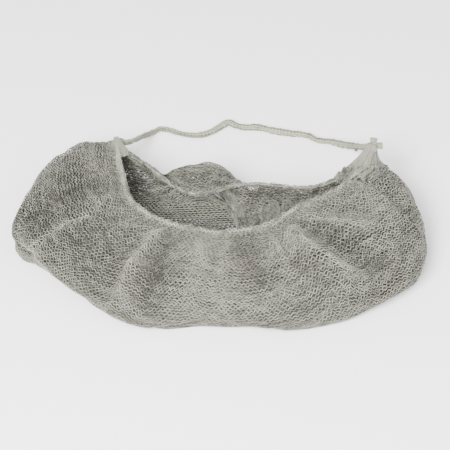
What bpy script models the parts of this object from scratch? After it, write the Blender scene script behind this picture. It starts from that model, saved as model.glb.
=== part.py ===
"""Beard cover: a knitted net pouch with an elastic rim and one elastic head loop.

The cover lies on a table as it was dropped: the pouch is puffed open, its mouth looks up, and
the free loop lies on the table behind it. Lengths are in metres, +Z is up, +X runs along the
pouch, and the front of the pouch looks towards -Y. The table is Z = 0.

The pouch is one surface. It is drawn round the mouth from a table of sections, one row for each
place on the rim, and down each section from the rim over its widest point to the table. The rim
band, both knots, the cut tails and the tuft all sit on that same rim curve.
"""

import math

import bpy
import numpy as np

# The pouch
POUCH_LENGTH = 0.238
POUCH_DEPTH = 0.136
RIM_HEIGHT = 0.045
NET_WALL = 0.0012
FOLD_DEPTH = 0.0042
GATHER_COUNT = 34
GATHER_DEPTH = 0.0007

# The elastic pieces
BAND_THICKNESS = 0.0030
LOOP_THICKNESS = 0.0040
LEFT_KNOT_SIZE = 0.0038
RIGHT_KNOT_SIZE = 0.0052
UPPER_TAIL_LENGTH = 0.0014
LOWER_TAIL_LENGTH = 0.0028
TAIL_THICKNESS = 0.0026
TUFT_LENGTH = 0.0150
TUFT_HEIGHT = 0.0034
TUFT_THICKNESS = 0.0014
TUFT_WAVES = 3

# Neighbouring pieces keep this gap, and the loop lies this far above the table
CLEARANCE = 0.0003
LOOP_LIFT = 0.0001

# Shapes of the small pieces: depth of a knot's waist, a cut tail's width at the knot and at its
# end and its flatness, the tuft's lowest places, and how far the flat end of the loop has to stay
# from a round knot, as a share of the loop's radius
KNOT_WAIST = 0.10
TAIL_NECK_SHARE = 0.8
TAIL_END_SHARE = 1.3
TAIL_FLATNESS = 0.7
TUFT_LOW_SHARE = 0.45
LOOP_END_SHARE = 0.35

# Mesh fineness
POUCH_COLUMNS = 136
POUCH_ROWS = 18
BAND_STEPS = 102
BAND_SIDES = 8
LOOP_STEPS = 46
KNOT_STEPS = 9
KNOT_SIDES = 12
KNOT_END_ANGLE = math.radians(12)
TAIL_STEPS = 5
TUFT_STEPS = 19
WALL_EASING = 4
SMALL_SIDES = 8

# One row for each section of the pouch, in order round the mouth from the left knot.
# x is a share of half POUCH_LENGTH, y of half POUCH_DEPTH, z of RIM_HEIGHT. "rim" is on the
# elastic, "side" is the widest point of the section, "foot" is where the net meets the table,
# and "puff" is how far the net swells out between rim and side, as a share of RIM_HEIGHT.
SECTION_COLUMNS = ("name", "rim_x", "rim_y", "rim_z", "side_x", "side_y", "side_z",
                   "foot_x", "foot_y", "puff")
SECTIONS = (
    ("left tip front", -0.512, 0.862, 0.735, -0.640, 1.020, 0.380, -0.595, 0.920, 0.090),
    ("left side 1", -0.500, 0.735, 0.765, -0.750, 0.925, 0.420, -0.695, 0.840, 0.180),
    ("left side 2", -0.485, 0.545, 0.820, -0.875, 0.675, 0.465, -0.805, 0.590, 0.200),
    ("left side 3", -0.460, 0.325, 0.880, -0.960, 0.310, 0.465, -0.880, 0.250, 0.220),
    ("left side 4", -0.430, 0.090, 0.910, -0.995, -0.030, 0.420, -0.925, -0.045, 0.220),
    ("left side 5", -0.375, -0.060, 0.910, -0.880, -0.220, 0.265, -0.825, -0.175, 0.180),
    ("front 1", -0.305, -0.160, 0.910, -0.690, -0.530, 0.220, -0.640, -0.455, 0.180),
    ("front 2", -0.225, -0.230, 0.900, -0.485, -0.840, 0.220, -0.455, -0.735, 0.180),
    ("front 3", -0.135, -0.270, 0.890, -0.285, -0.940, 0.220, -0.270, -0.825, 0.155),
    ("front 4", -0.020, -0.300, 0.865, -0.075, -0.910, 0.220, -0.075, -0.795, 0.155),
    ("front 5", 0.100, -0.295, 0.880, 0.150, -0.910, 0.220, 0.150, -0.795, 0.155),
    ("front 6", 0.225, -0.255, 0.900, 0.370, -0.940, 0.220, 0.355, -0.825, 0.180),
    ("front 7", 0.335, -0.130, 0.955, 0.590, -0.845, 0.220, 0.555, -0.735, 0.200),
    ("front 8", 0.445, -0.030, 0.990, 0.815, -0.645, 0.265, 0.765, -0.560, 0.200),
    ("right side 1", 0.540, 0.075, 1.000, 0.960, -0.440, 0.380, 0.890, -0.380, 0.200),
    ("right side 2", 0.620, 0.205, 1.000, 1.000, -0.090, 0.465, 0.935, -0.090, 0.180),
    ("right side 3", 0.680, 0.340, 0.990, 0.960, 0.220, 0.535, 0.880, 0.175, 0.155),
    ("right side 4", 0.740, 0.485, 0.980, 0.880, 0.490, 0.600, 0.805, 0.395, 0.045),
    ("right tip front", 0.765, 0.594, 0.930, 0.845, 0.590, 0.545, 0.775, 0.485, -0.040),
    ("right tip back", 0.730, 0.609, 0.930, 0.780, 0.635, 0.465, 0.725, 0.515, -0.010),
    ("back right 1", 0.707, 0.500, 0.933, 0.715, 0.605, 0.400, 0.665, 0.515, 0.000),
    ("back right 2", 0.630, 0.372, 0.930, 0.620, 0.560, 0.400, 0.590, 0.470, 0.020),
    ("back 1", 0.565, 0.265, 0.955, 0.540, 0.500, 0.400, 0.505, 0.410, 0.020),
    ("back 2", 0.455, 0.185, 0.935, 0.435, 0.470, 0.400, 0.420, 0.395, 0.020),
    ("back 3", 0.335, 0.200, 0.920, 0.320, 0.485, 0.380, 0.310, 0.410, 0.020),
    ("back 4", 0.210, 0.235, 0.910, 0.200, 0.500, 0.380, 0.200, 0.425, 0.020),
    ("back 5", 0.095, 0.230, 0.910, 0.100, 0.560, 0.400, 0.100, 0.485, 0.065),
    ("back puff 1", -0.015, 0.160, 0.910, 0.000, 0.690, 0.445, 0.000, 0.620, 0.180),
    ("back puff 2", -0.120, 0.120, 0.910, -0.125, 0.705, 0.445, -0.125, 0.630, 0.200),
    ("back puff 3", -0.225, 0.230, 0.910, -0.250, 0.690, 0.420, -0.250, 0.620, 0.110),
    ("back left 1", -0.320, 0.425, 0.900, -0.360, 0.780, 0.400, -0.355, 0.690, 0.020),
    ("back left 2", -0.400, 0.621, 0.818, -0.445, 0.910, 0.380, -0.435, 0.825, 0.020),
    ("back left 3", -0.449, 0.747, 0.735, -0.515, 1.015, 0.355, -0.495, 0.925, 0.045),
    ("left tip back", -0.478, 0.845, 0.706, -0.555, 1.045, 0.355, -0.530, 0.950, 0.065),
)

# The main folds, each a straight ridge (height above 0) or valley (below 0) between two places
# on the pouch. round_* is the place round the mouth and down_* the place from the rim (0) to the
# middle of the base (1). height is a share of FOLD_DEPTH, width a share of RIM_HEIGHT.
FOLD_COLUMNS = ("name", "round_1", "down_1", "round_2", "down_2", "height", "width")
FOLDS = (
    ("left seam ridge, low", 0.137, 0.52, 0.141, 0.33, 0.8, 0.11),
    ("left seam ridge, high", 0.141, 0.33, 0.115, 0.04, 0.6, 0.10),
    ("left lobe hollow", 0.089, 0.22, 0.120, 0.48, -0.8, 0.18),
    ("front left ridge", 0.209, 0.45, 0.201, 0.08, 0.9, 0.10),
    ("front left valley", 0.226, 0.48, 0.215, 0.12, -1.0, 0.14),
    ("front puff", 0.252, 0.12, 0.264, 0.44, 0.7, 0.22),
    ("front middle valley", 0.292, 0.04, 0.303, 0.32, -1.0, 0.16),
    ("front right ridge", 0.344, 0.10, 0.369, 0.46, 0.8, 0.10),
    ("front right valley", 0.361, 0.10, 0.384, 0.42, -0.8, 0.14),
    ("right upper ridge", 0.367, 0.04, 0.405, 0.28, 0.6, 0.09),
    ("right lobe valley", 0.463, 0.08, 0.440, 0.42, -0.6, 0.12),
    ("right lobe ridge", 0.444, 0.05, 0.416, 0.36, 0.6, 0.10),
    ("back inward fold, right", 0.688, 0.12, 0.688, 0.56, -0.8, 0.11),
    ("back inward fold, middle", 0.747, 0.12, 0.743, 0.56, -1.0, 0.12),
    ("back inward fold, left", 0.862, 0.12, 0.858, 0.52, -0.8, 0.12),
)

# Route of the free loop over the table, in metres, from the left knot to the right knot.
LOOP_ROUTE = (
    (-0.0556, 0.0658, 0.0274),
    (-0.0507, 0.0735, 0.0222),
    (-0.0472, 0.0856, 0.0137),
    (-0.0422, 0.0989, 0.0045),
    (-0.0351, 0.1060, 0.0020),
    (-0.0283, 0.1033, 0.0020),
    (-0.0214, 0.1008, 0.0020),
    (-0.0141, 0.0999, 0.0020),
    (-0.0073, 0.1016, 0.0020),
    (0.0001, 0.1069, 0.0020),
    (0.0050, 0.1116, 0.0020),
    (0.0093, 0.1093, 0.0020),
    (0.0152, 0.1069, 0.0020),
    (0.0235, 0.1073, 0.0020),
    (0.0327, 0.1042, 0.0020),
    (0.0443, 0.1016, 0.0020),
    (0.0541, 0.0999, 0.0020),
    (0.0595, 0.0957, 0.0020),
    (0.0679, 0.0920, 0.0040),
    (0.0763, 0.0813, 0.0112),
    (0.0812, 0.0705, 0.0202),
    (0.0862, 0.0583, 0.0308),
)

# Places round the mouth, as shares of the way round from the first section
LEFT_TIP = -0.5 / len(SECTIONS)
RIGHT_TIP = 18.5 / len(SECTIONS)
TUFT_PLACE = 21.35 / len(SECTIONS)

# Where all sections meet under the pouch, as shares of half its length and half its depth
BASE_MIDDLE = (0.0, -0.30)

# Where the profile passes its widest point and its foot, as shares of the way down
CREST_DOWN = 0.30
SIDE_DOWN = 0.60
FOOT_DOWN = 0.78

# Folds and gathers start this far below the band, and gathers end this far down
EDGE_SHARE = 0.18
GATHER_REACH = 0.35

# Lengths round the pouch and down a section, for measuring how far a place is from a fold
MOUTH_WAY_SHARE = 1.5
SECTION_WAY_SHARE = 0.9

# Both knots lie above and behind their end of the mouth
LEFT_KNOT_DIRECTION = (-0.28, 0.80, 0.20)
RIGHT_KNOT_DIRECTION = (0.10, 0.62, 0.77)
UPPER_TAIL_DIRECTION = (0.10, 0.56, 0.82)
LOWER_TAIL_DIRECTION = (0.96, 0.14, -0.24)

# Colours and roughness
NET_COLOUR = (0.62, 0.62, 0.58, 1.0)
BAND_COLOUR = (0.76, 0.77, 0.70, 1.0)
LOOP_COLOUR = (0.74, 0.75, 0.66, 1.0)
NET_ROUGHNESS = 0.75
ELASTIC_ROUGHNESS = 0.80


def remove_all_objects():
    """Empty the scene."""
    for item in list(bpy.data.objects):
        bpy.data.objects.remove(item, do_unlink=True)


def make_material(name, colour, roughness):
    """Plain Principled material of one colour."""
    material = bpy.data.materials.new(name)
    material.use_nodes = True
    shader = material.node_tree.nodes["Principled BSDF"]
    shader.inputs["Base Color"].default_value = colour
    shader.inputs["Roughness"].default_value = roughness
    shader.inputs["Metallic"].default_value = 0.0
    return material


def make_mesh_object(name, points, faces, material, parent):
    """Mesh object from points and faces, smooth shaded."""
    mesh = bpy.data.meshes.new(name)
    mesh.from_pydata([tuple(point) for point in points], [], faces)
    mesh.validate()
    mesh.shade_smooth()
    mesh.materials.append(material)
    item = bpy.data.objects.new(name, mesh)
    item.parent = parent
    bpy.context.collection.objects.link(item)
    return item


def unit(vectors):
    """Vectors divided by their length."""
    vectors = np.asarray(vectors, float)
    return vectors / np.linalg.norm(vectors, axis=-1, keepdims=True)


def section_shares(*names):
    """Named columns of SECTIONS, one row for each section."""
    wanted = [SECTION_COLUMNS.index(name) for name in names]
    return np.array([[row[k] for k in wanted] for row in SECTIONS])


def section_rows():
    """Sections as real lengths: their rim, side and foot points, and their puff."""
    scale = np.array([POUCH_LENGTH / 2, POUCH_DEPTH / 2, RIM_HEIGHT])
    rim = section_shares("rim_x", "rim_y", "rim_z") * scale
    side = section_shares("side_x", "side_y", "side_z") * scale
    foot = np.zeros_like(rim)
    foot[:, 0:2] = section_shares("foot_x", "foot_y") * scale[0:2]
    puff = section_shares("puff")[:, 0] * RIM_HEIGHT
    return rim, side, foot, puff


def base_middle():
    """Point under the pouch at which all sections meet. It sees every foot in a straight line."""
    return np.array([BASE_MIDDLE[0] * POUCH_LENGTH / 2, BASE_MIDDLE[1] * POUCH_DEPTH / 2, 0.0])


def read_round(rows, place):
    """Rows of the section table read at any place round the mouth, by a closed cubic spline."""
    count = len(rows)
    step = np.asarray(place, float) * count
    first = np.floor(step).astype(int)
    t = step - first
    if rows.ndim > 1:
        t = t[..., None]
    before, start, end, after = (rows[(first + k) % count] for k in (-1, 0, 1, 2))
    linear = end - before
    square = 2 * before - 5 * start + 4 * end - after
    cube = 3 * start - before - 3 * end + after
    return 0.5 * (2 * start + linear * t + square * t**2 + cube * t**3)


def profile_points(place):
    """Rim, crest, side, foot and base points of the sections, with the slope at each."""
    rim_rows, side_rows, foot_rows, puff_rows = section_rows()
    rim = read_round(rim_rows, place)
    side = read_round(side_rows, place)
    foot = read_round(foot_rows, place)
    puff = read_round(puff_rows, place)[..., None]
    along = unit(side - rim)
    swell = unit(np.array([0.0, 0.0, 1.0]) - along * along[..., 2:3])
    crest = (rim + side) / 2 + swell * puff
    base = np.zeros_like(rim) + base_middle()
    points = (rim, crest, side, foot, base)
    downs = (0.0, CREST_DOWN, SIDE_DOWN, FOOT_DOWN, 1.0)

    first_step = (crest - rim) / CREST_DOWN
    long_step = (side - rim) / SIDE_DOWN
    rim_slope = 1.25 * first_step - 0.25 * long_step
    crest_slope = long_step
    side_slope = (foot - crest) / (FOOT_DOWN - CREST_DOWN) * np.array([0.0, 0.0, 1.0])
    tuck = np.linalg.norm(foot - side, axis=-1, keepdims=True) / (FOOT_DOWN - SIDE_DOWN)
    foot_slope = unit(base - foot) * tuck
    base_slope = (base - foot) / (1.0 - FOOT_DOWN)
    return points, (rim_slope, crest_slope, side_slope, foot_slope, base_slope), downs


def smooth_net(place, down):
    """Points of the net without folds, at places round the mouth and down the section."""
    points, slopes, downs = profile_points(place)
    result = np.zeros(points[0].shape)
    for k in range(4):
        width = downs[k + 1] - downs[k]
        t = ((down - downs[k]) / width)[..., None]
        inside = (t >= 0) & (t <= 1)
        start_weight = 2 * t**3 - 3 * t**2 + 1
        leave_weight = (t**3 - 2 * t**2 + t) * width
        arrive_weight = (t**3 - t**2) * width
        piece = (start_weight * points[k] + leave_weight * slopes[k]
                 + (1 - start_weight) * points[k + 1] + arrive_weight * slopes[k + 1])
        result = np.where(inside, piece, result)
    result[..., 2] = np.maximum(result[..., 2], 0.0)
    return result


def grid_normals(points):
    """Outward normals of a grid that closes round its first axis."""
    round_step = np.roll(points, -1, axis=0) - np.roll(points, 1, axis=0)
    down_step = np.gradient(points, axis=1)
    normals = np.cross(down_step, round_step)
    lengths = np.linalg.norm(normals, axis=-1, keepdims=True)
    normals = normals / np.maximum(lengths, 1e-12)
    on_table = points[..., 2] <= 1e-6
    normals[on_table] = (0.0, 0.0, -1.0)
    return normals


def fold_height(place, down):
    """Height of all folds at places on the pouch, measured outwards."""
    mouth_way = MOUTH_WAY_SHARE * (POUCH_LENGTH + POUCH_DEPTH)
    section_way = SECTION_WAY_SHARE * POUCH_DEPTH
    total = np.zeros(np.broadcast(place, down).shape)
    for row in FOLDS:
        fold = dict(zip(FOLD_COLUMNS, row))
        start = np.array([fold["round_1"] * mouth_way, fold["down_1"] * section_way])
        end = np.array([fold["round_2"] * mouth_way, fold["down_2"] * section_way])
        run = end - start
        here = np.stack([place * mouth_way, down * section_way], -1)
        t = np.clip(((here - start) @ run) / (run @ run), 0.0, 1.0)
        away = np.linalg.norm(here - start - t[..., None] * run, axis=-1)
        total += fold["height"] * FOLD_DEPTH * np.exp(-(away / (fold["width"] * RIM_HEIGHT))**2)
    return total


def net_edge(place):
    """Way down each section at which the net clears the rim band, found in a few steps."""
    band_seat = BAND_THICKNESS / 2 + CLEARANCE
    line = rim_points(np.arange(8 * BAND_STEPS) / (8 * BAND_STEPS))
    edge = band_seat / np.linalg.norm(profile_points(place)[1][0], axis=-1)
    for _ in range(4):
        here = smooth_net(place, edge)
        away = np.linalg.norm(here[:, None, :] - line[None, :, :], axis=-1).min(axis=1)
        edge = edge * band_seat / away
    return edge


def net_grid():
    """Outer points of the net, from its edge under the rim band down to the base."""
    place = np.repeat(np.arange(POUCH_COLUMNS)[:, None] / POUCH_COLUMNS, POUCH_ROWS, axis=1)
    edge = net_edge(place[:, 0])
    way = np.linspace(0.0, 1.0, POUCH_ROWS)[None, :]
    down = edge[:, None] + (1.0 - edge[:, None]) * way
    smooth = smooth_net(place, down)
    fade = np.clip(way / EDGE_SHARE, 0.0, 1.0)
    gathers = GATHER_DEPTH * np.cos(2 * math.pi * GATHER_COUNT * place)
    gathers = gathers * np.clip(1.0 - way / GATHER_REACH, 0.0, 1.0)
    relief = (fold_height(place, down) + gathers) * fade
    folded = smooth + grid_normals(smooth) * relief[..., None]
    folded[smooth[..., 2] <= 1e-6, 2] = 0.0
    folded[..., 2] = np.maximum(folded[..., 2], 0.0)
    return folded


def pouch_mesh():
    """Closed thin wall: outer grid, inner grid, and the strip that joins them at the mouth.

    The way through the wall is eased between neighbouring columns, so that the inner grid
    doesn't cross itself in the tight corners at both ends of the mouth.
    """
    outer = net_grid()
    inward = -grid_normals(outer)
    for _ in range(WALL_EASING):
        eased = unit(inward + (np.roll(inward, 1, axis=0) + np.roll(inward, -1, axis=0)) / 2)
        inward = np.where(outer[..., 2:3] > 1e-6, eased, inward)
    inner = outer + inward * NET_WALL
    inner[..., 2] = np.maximum(inner[..., 2], NET_WALL)
    columns, rows = outer.shape[0], outer.shape[1] - 1
    outer_ring = outer[:, :rows]
    inner_ring = inner[:, :rows]
    poles = base_middle() + np.array([[0.0, 0.0, 0.0], [0.0, 0.0, NET_WALL]])
    points = np.concatenate([outer_ring.reshape(-1, 3), inner_ring.reshape(-1, 3), poles])
    inner_start = columns * rows
    outer_pole = 2 * columns * rows
    inner_pole = outer_pole + 1
    faces = []
    for i in range(columns):
        here = i * rows
        there = ((i + 1) % columns) * rows
        for j in range(rows - 1):
            faces.append((here + j, here + j + 1, there + j + 1, there + j))
            faces.append((inner_start + here + j, inner_start + there + j,
                          inner_start + there + j + 1, inner_start + here + j + 1))
        faces.append((there + rows - 1, here + rows - 1, outer_pole))
        faces.append((inner_start + here + rows - 1, inner_start + there + rows - 1, inner_pole))
        faces.append((here, there, inner_start + there, inner_start + here))
    return points, faces


def rim_points(places):
    """Centre line of the elastic round the mouth."""
    return read_round(section_rows()[0], np.asarray(places, float))


def frames_along(centre, closed):
    """Two unit vectors across a line of points, the second one near +Z."""
    if closed:
        ahead = unit(np.roll(centre, -1, axis=0) - np.roll(centre, 1, axis=0))
    else:
        ahead = unit(np.gradient(centre, axis=0))
    across = unit(np.cross(ahead, np.array([0.0, 0.0, 1.0])))
    up = np.cross(across, ahead)
    return across, up


def swept_mesh(centre, half_width, half_height, sides, closed):
    """Tube with an elliptical section along a line, with pointed ends unless it closes."""
    across, up = frames_along(centre, closed)
    turn = 2 * math.pi * np.arange(sides) / sides
    half_width = np.broadcast_to(half_width, len(centre))[:, None, None]
    half_height = np.broadcast_to(half_height, len(centre))[:, None, None]
    rings = (centre[:, None, :]
             + np.cos(turn)[None, :, None] * across[:, None, :] * half_width
             + np.sin(turn)[None, :, None] * up[:, None, :] * half_height)
    count = len(centre)
    points = rings.reshape(-1, 3)
    faces = []
    for i in range(count if closed else count - 1):
        here = i * sides
        there = ((i + 1) % count) * sides
        for j in range(sides):
            k = (j + 1) % sides
            faces.append((here + j, there + j, there + k, here + k))
    if not closed:
        faces.append(tuple(range(sides)))
        faces.append(tuple(count * sides - 1 - j for j in range(sides)))
    return points, faces


def knot_centre(tip_place, direction, size):
    """Centre of a knot that sits on the band at one end of the mouth."""
    tip = rim_points([tip_place])[0]
    reach = BAND_THICKNESS / 2 + CLEARANCE + size / 2
    return tip + unit(direction) * reach


def knot_mesh(centre, size):
    """Round knot with a shallow waist where the elastic crosses over itself."""
    angle = np.linspace(KNOT_END_ANGLE, math.pi - KNOT_END_ANGLE, KNOT_STEPS)
    line = centre + np.outer(-np.cos(angle), [1.0, 0.0, 0.0]) * size / 2
    waist = 1.0 - KNOT_WAIST * np.cos(3 * (angle - math.pi / 2))**2
    radius = np.sin(angle) * size / 2 * waist
    return swept_mesh(line, radius, radius, KNOT_SIDES, closed=False)


def tail_mesh(knot, direction, length):
    """Short flat cut end of elastic that widens away from the right knot."""
    reach = RIGHT_KNOT_SIZE / 2 + CLEARANCE + np.linspace(0.0, length, TAIL_STEPS)
    line = knot + np.outer(reach, unit(direction))
    half_width = np.linspace(TAIL_NECK_SHARE, TAIL_END_SHARE, TAIL_STEPS) * TAIL_THICKNESS / 2
    return swept_mesh(line, half_width, half_width * TAIL_FLATNESS, SMALL_SIDES, closed=False)


def tuft_mesh():
    """Small frill of gathered net, three low waves on top of the back rim."""
    way = np.linspace(-0.5, 0.5, TUFT_STEPS)
    near = rim_points([TUFT_PLACE - 0.01, TUFT_PLACE + 0.01])
    rim_length_per_place = np.linalg.norm(near[1] - near[0]) / 0.02
    line = rim_points(TUFT_PLACE + way * TUFT_LENGTH / rim_length_per_place)
    waves = TUFT_LOW_SHARE + (1 - TUFT_LOW_SHARE) * np.abs(np.cos(TUFT_WAVES * math.pi * way))
    half_height = TUFT_HEIGHT / 2 * waves * np.cos(math.pi * way * 0.8)
    lift = BAND_THICKNESS / 2 + CLEARANCE + half_height
    line = line + np.outer(lift, [0.0, 0.0, 1.0])
    return swept_mesh(line, TUFT_THICKNESS / 2, half_height, SMALL_SIDES, closed=False)


def smooth_route(points, steps):
    """Evenly spaced points on a cubic spline through a route's own points."""
    points = np.asarray(points, float)
    ends = np.vstack([2 * points[0] - points[1], points, 2 * points[-1] - points[-2]])
    fine = []
    for k in range(len(points) - 1):
        before, start, end, after = ends[k:k + 4]
        for t in np.linspace(0.0, 1.0, 12, endpoint=False):
            fine.append(0.5 * (2 * start + (end - before) * t
                               + (2 * before - 5 * start + 4 * end - after) * t**2
                               + (3 * start - before - 3 * end + after) * t**3))
    fine.append(points[-1])
    fine = np.array(fine)
    run = np.concatenate([[0.0], np.cumsum(np.linalg.norm(np.diff(fine, axis=0), axis=1))])
    wanted = np.linspace(0.0, run[-1], steps)
    return np.stack([np.interp(wanted, run, fine[:, k]) for k in range(3)], -1)


def loop_points(left_knot, right_knot):
    """Points of the loop: out of one knot, over the table, into the other."""
    route = np.array(LOOP_ROUTE)
    floor = LOOP_THICKNESS / 2 + LOOP_LIFT
    route[:, 2] = np.maximum(route[:, 2], floor)
    gap = LOOP_THICKNESS / 2 * LOOP_END_SHARE + CLEARANCE
    start = left_knot + unit(route[0] - left_knot) * (LEFT_KNOT_SIZE / 2 + gap)
    end = right_knot + unit(route[-1] - right_knot) * (RIGHT_KNOT_SIZE / 2 + gap)
    line = smooth_route(np.vstack([start, route, end]), LOOP_STEPS)
    line[1:-1, 2] = np.maximum(line[1:-1, 2], floor)
    return line


def make_cord(name, points, thickness, material, parent):
    """Round tube along a line of points, with filled ends."""
    curve = bpy.data.curves.new(name, "CURVE")
    curve.dimensions = "3D"
    curve.bevel_depth = thickness / 2
    curve.bevel_resolution = 2
    curve.use_fill_caps = True
    spline = curve.splines.new("POLY")
    spline.points.add(len(points) - 1)
    spline.points.foreach_set("co", np.hstack([points, np.ones((len(points), 1))]).ravel())
    curve.materials.append(material)
    item = bpy.data.objects.new(name, curve)
    item.parent = parent
    bpy.context.collection.objects.link(item)
    return item


def build():
    """Make every piece of the beard cover."""
    remove_all_objects()
    net = make_material("net", NET_COLOUR, NET_ROUGHNESS)
    band = make_material("rim_elastic", BAND_COLOUR, ELASTIC_ROUGHNESS)
    elastic = make_material("loop_elastic", LOOP_COLOUR, ELASTIC_ROUGHNESS)
    root = bpy.data.objects.new("beard_cover", None)
    bpy.context.collection.objects.link(root)

    pouch_points, pouch_faces = pouch_mesh()
    make_mesh_object("net_pouch", pouch_points, pouch_faces, net, root)

    line = rim_points(np.arange(BAND_STEPS) / BAND_STEPS)
    half = BAND_THICKNESS / 2
    make_mesh_object("rim_band", *swept_mesh(line, half, half, BAND_SIDES, closed=True), band, root)
    make_mesh_object("seam_tuft", *tuft_mesh(), band, root)

    left_knot = knot_centre(LEFT_TIP, LEFT_KNOT_DIRECTION, LEFT_KNOT_SIZE)
    right_knot = knot_centre(RIGHT_TIP, RIGHT_KNOT_DIRECTION, RIGHT_KNOT_SIZE)
    make_mesh_object("knot_left", *knot_mesh(left_knot, LEFT_KNOT_SIZE), elastic, root)
    make_mesh_object("knot_right", *knot_mesh(right_knot, RIGHT_KNOT_SIZE), elastic, root)
    upper_tail = tail_mesh(right_knot, UPPER_TAIL_DIRECTION, UPPER_TAIL_LENGTH)
    lower_tail = tail_mesh(right_knot, LOWER_TAIL_DIRECTION, LOWER_TAIL_LENGTH)
    make_mesh_object("cord_tail_upper", *upper_tail, elastic, root)
    make_mesh_object("cord_tail_lower", *lower_tail, elastic, root)
    make_cord("head_loop", loop_points(left_knot, right_knot), LOOP_THICKNESS, elastic, root)

    low = pouch_points.min(axis=0)
    high = pouch_points.max(axis=0)
    middle = (low + high) / 2
    root.location = (-middle[0], -middle[1], 0.0)


build()
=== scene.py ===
# %% [markdown]
# # A knitted beard cover
#
# A beard cover is a bag of thin honeycomb net. Elastic gathers its mouth, and one soft elastic
# loop is tied to both ends of the mouth. This one lies on a table as it was dropped: the bag is
# puffed open, its mouth looks up, and the loop lies behind it.
#
# The CAD model gives every piece its place and its real size. This lesson dresses those plain
# solids. The net becomes real yarn: thousands of small arcs that meet as honeycomb cells. A flat
# texture would look right from one side only. Yarn can be seen through, casts its own fine
# shadows, and shows the far wall of the bag behind the near one.

import math

import bpy
import numpy as np
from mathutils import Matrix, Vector


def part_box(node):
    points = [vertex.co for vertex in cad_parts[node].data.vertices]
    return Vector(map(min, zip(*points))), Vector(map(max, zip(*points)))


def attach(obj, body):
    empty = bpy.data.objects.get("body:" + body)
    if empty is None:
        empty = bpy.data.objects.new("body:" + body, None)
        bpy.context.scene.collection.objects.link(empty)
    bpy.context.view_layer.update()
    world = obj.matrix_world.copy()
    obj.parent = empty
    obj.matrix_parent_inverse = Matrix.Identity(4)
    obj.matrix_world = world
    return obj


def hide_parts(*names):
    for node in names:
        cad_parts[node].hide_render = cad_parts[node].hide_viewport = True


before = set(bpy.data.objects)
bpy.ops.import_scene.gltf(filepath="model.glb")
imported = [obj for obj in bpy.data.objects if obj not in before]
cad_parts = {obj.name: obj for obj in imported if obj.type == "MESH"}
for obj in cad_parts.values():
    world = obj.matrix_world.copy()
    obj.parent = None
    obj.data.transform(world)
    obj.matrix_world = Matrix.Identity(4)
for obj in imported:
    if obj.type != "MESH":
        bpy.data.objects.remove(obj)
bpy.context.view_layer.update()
random = np.random.default_rng(7)

# %% [markdown]
# ## Camera
#
# The picture was taken from the front, about 45 degrees above the table, with a long lens that
# keeps the two ends of the bag equally large. The camera looks at a point inside the bag from
# 1.2 m away. The focal length follows from the scale: at that distance one pixel of the
# 450-pixel picture covers 0.578 mm.

# %% Camera
PICTURE_PIXELS = 450
METRES_PER_PIXEL = 0.240 / 415
CAMERA_DISTANCE = 1.200
CAMERA_TILT = math.radians(45)
LOOK_AT = Vector((0.00358, 0.00450, 0.01600))
SENSOR_WIDTH = 36.0

view_direction = Vector((0.0, math.cos(CAMERA_TILT), -math.sin(CAMERA_TILT)))
camera_data = bpy.data.cameras.new("camera")
camera_data.sensor_width = SENSOR_WIDTH
camera_data.lens = SENSOR_WIDTH * CAMERA_DISTANCE / (METRES_PER_PIXEL * PICTURE_PIXELS)
camera = bpy.data.objects.new("camera", camera_data)
camera.location = LOOK_AT - view_direction * CAMERA_DISTANCE
camera.rotation_euler = view_direction.to_track_quat("-Z", "Y").to_euler()
bpy.context.scene.collection.objects.link(camera)
bpy.context.scene.camera = camera
print("Lens in mm:", round(camera_data.lens, 1))

# %% [markdown]
# ## The form of the bag
#
# The bag is one surface. A table of sections goes round the mouth, one row for each place on
# the elastic. Each section runs from the rim over a crest to its widest point, the side, then
# tucks in to its foot on the table and runs under the bag to a common middle. Reading the table
# with a closed spline gives a section anywhere, so a point of the bag is a function of two
# numbers: the place round the mouth, and the way down the section.
#
# This is the same table as in the CAD source, so that the yarn lies where its solid lies.

# %% Sections of the bag
HALF_LENGTH = 0.238 / 2
HALF_DEPTH = 0.136 / 2
RIM_HEIGHT = 0.045
BAND_RADIUS = 0.0015

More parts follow.
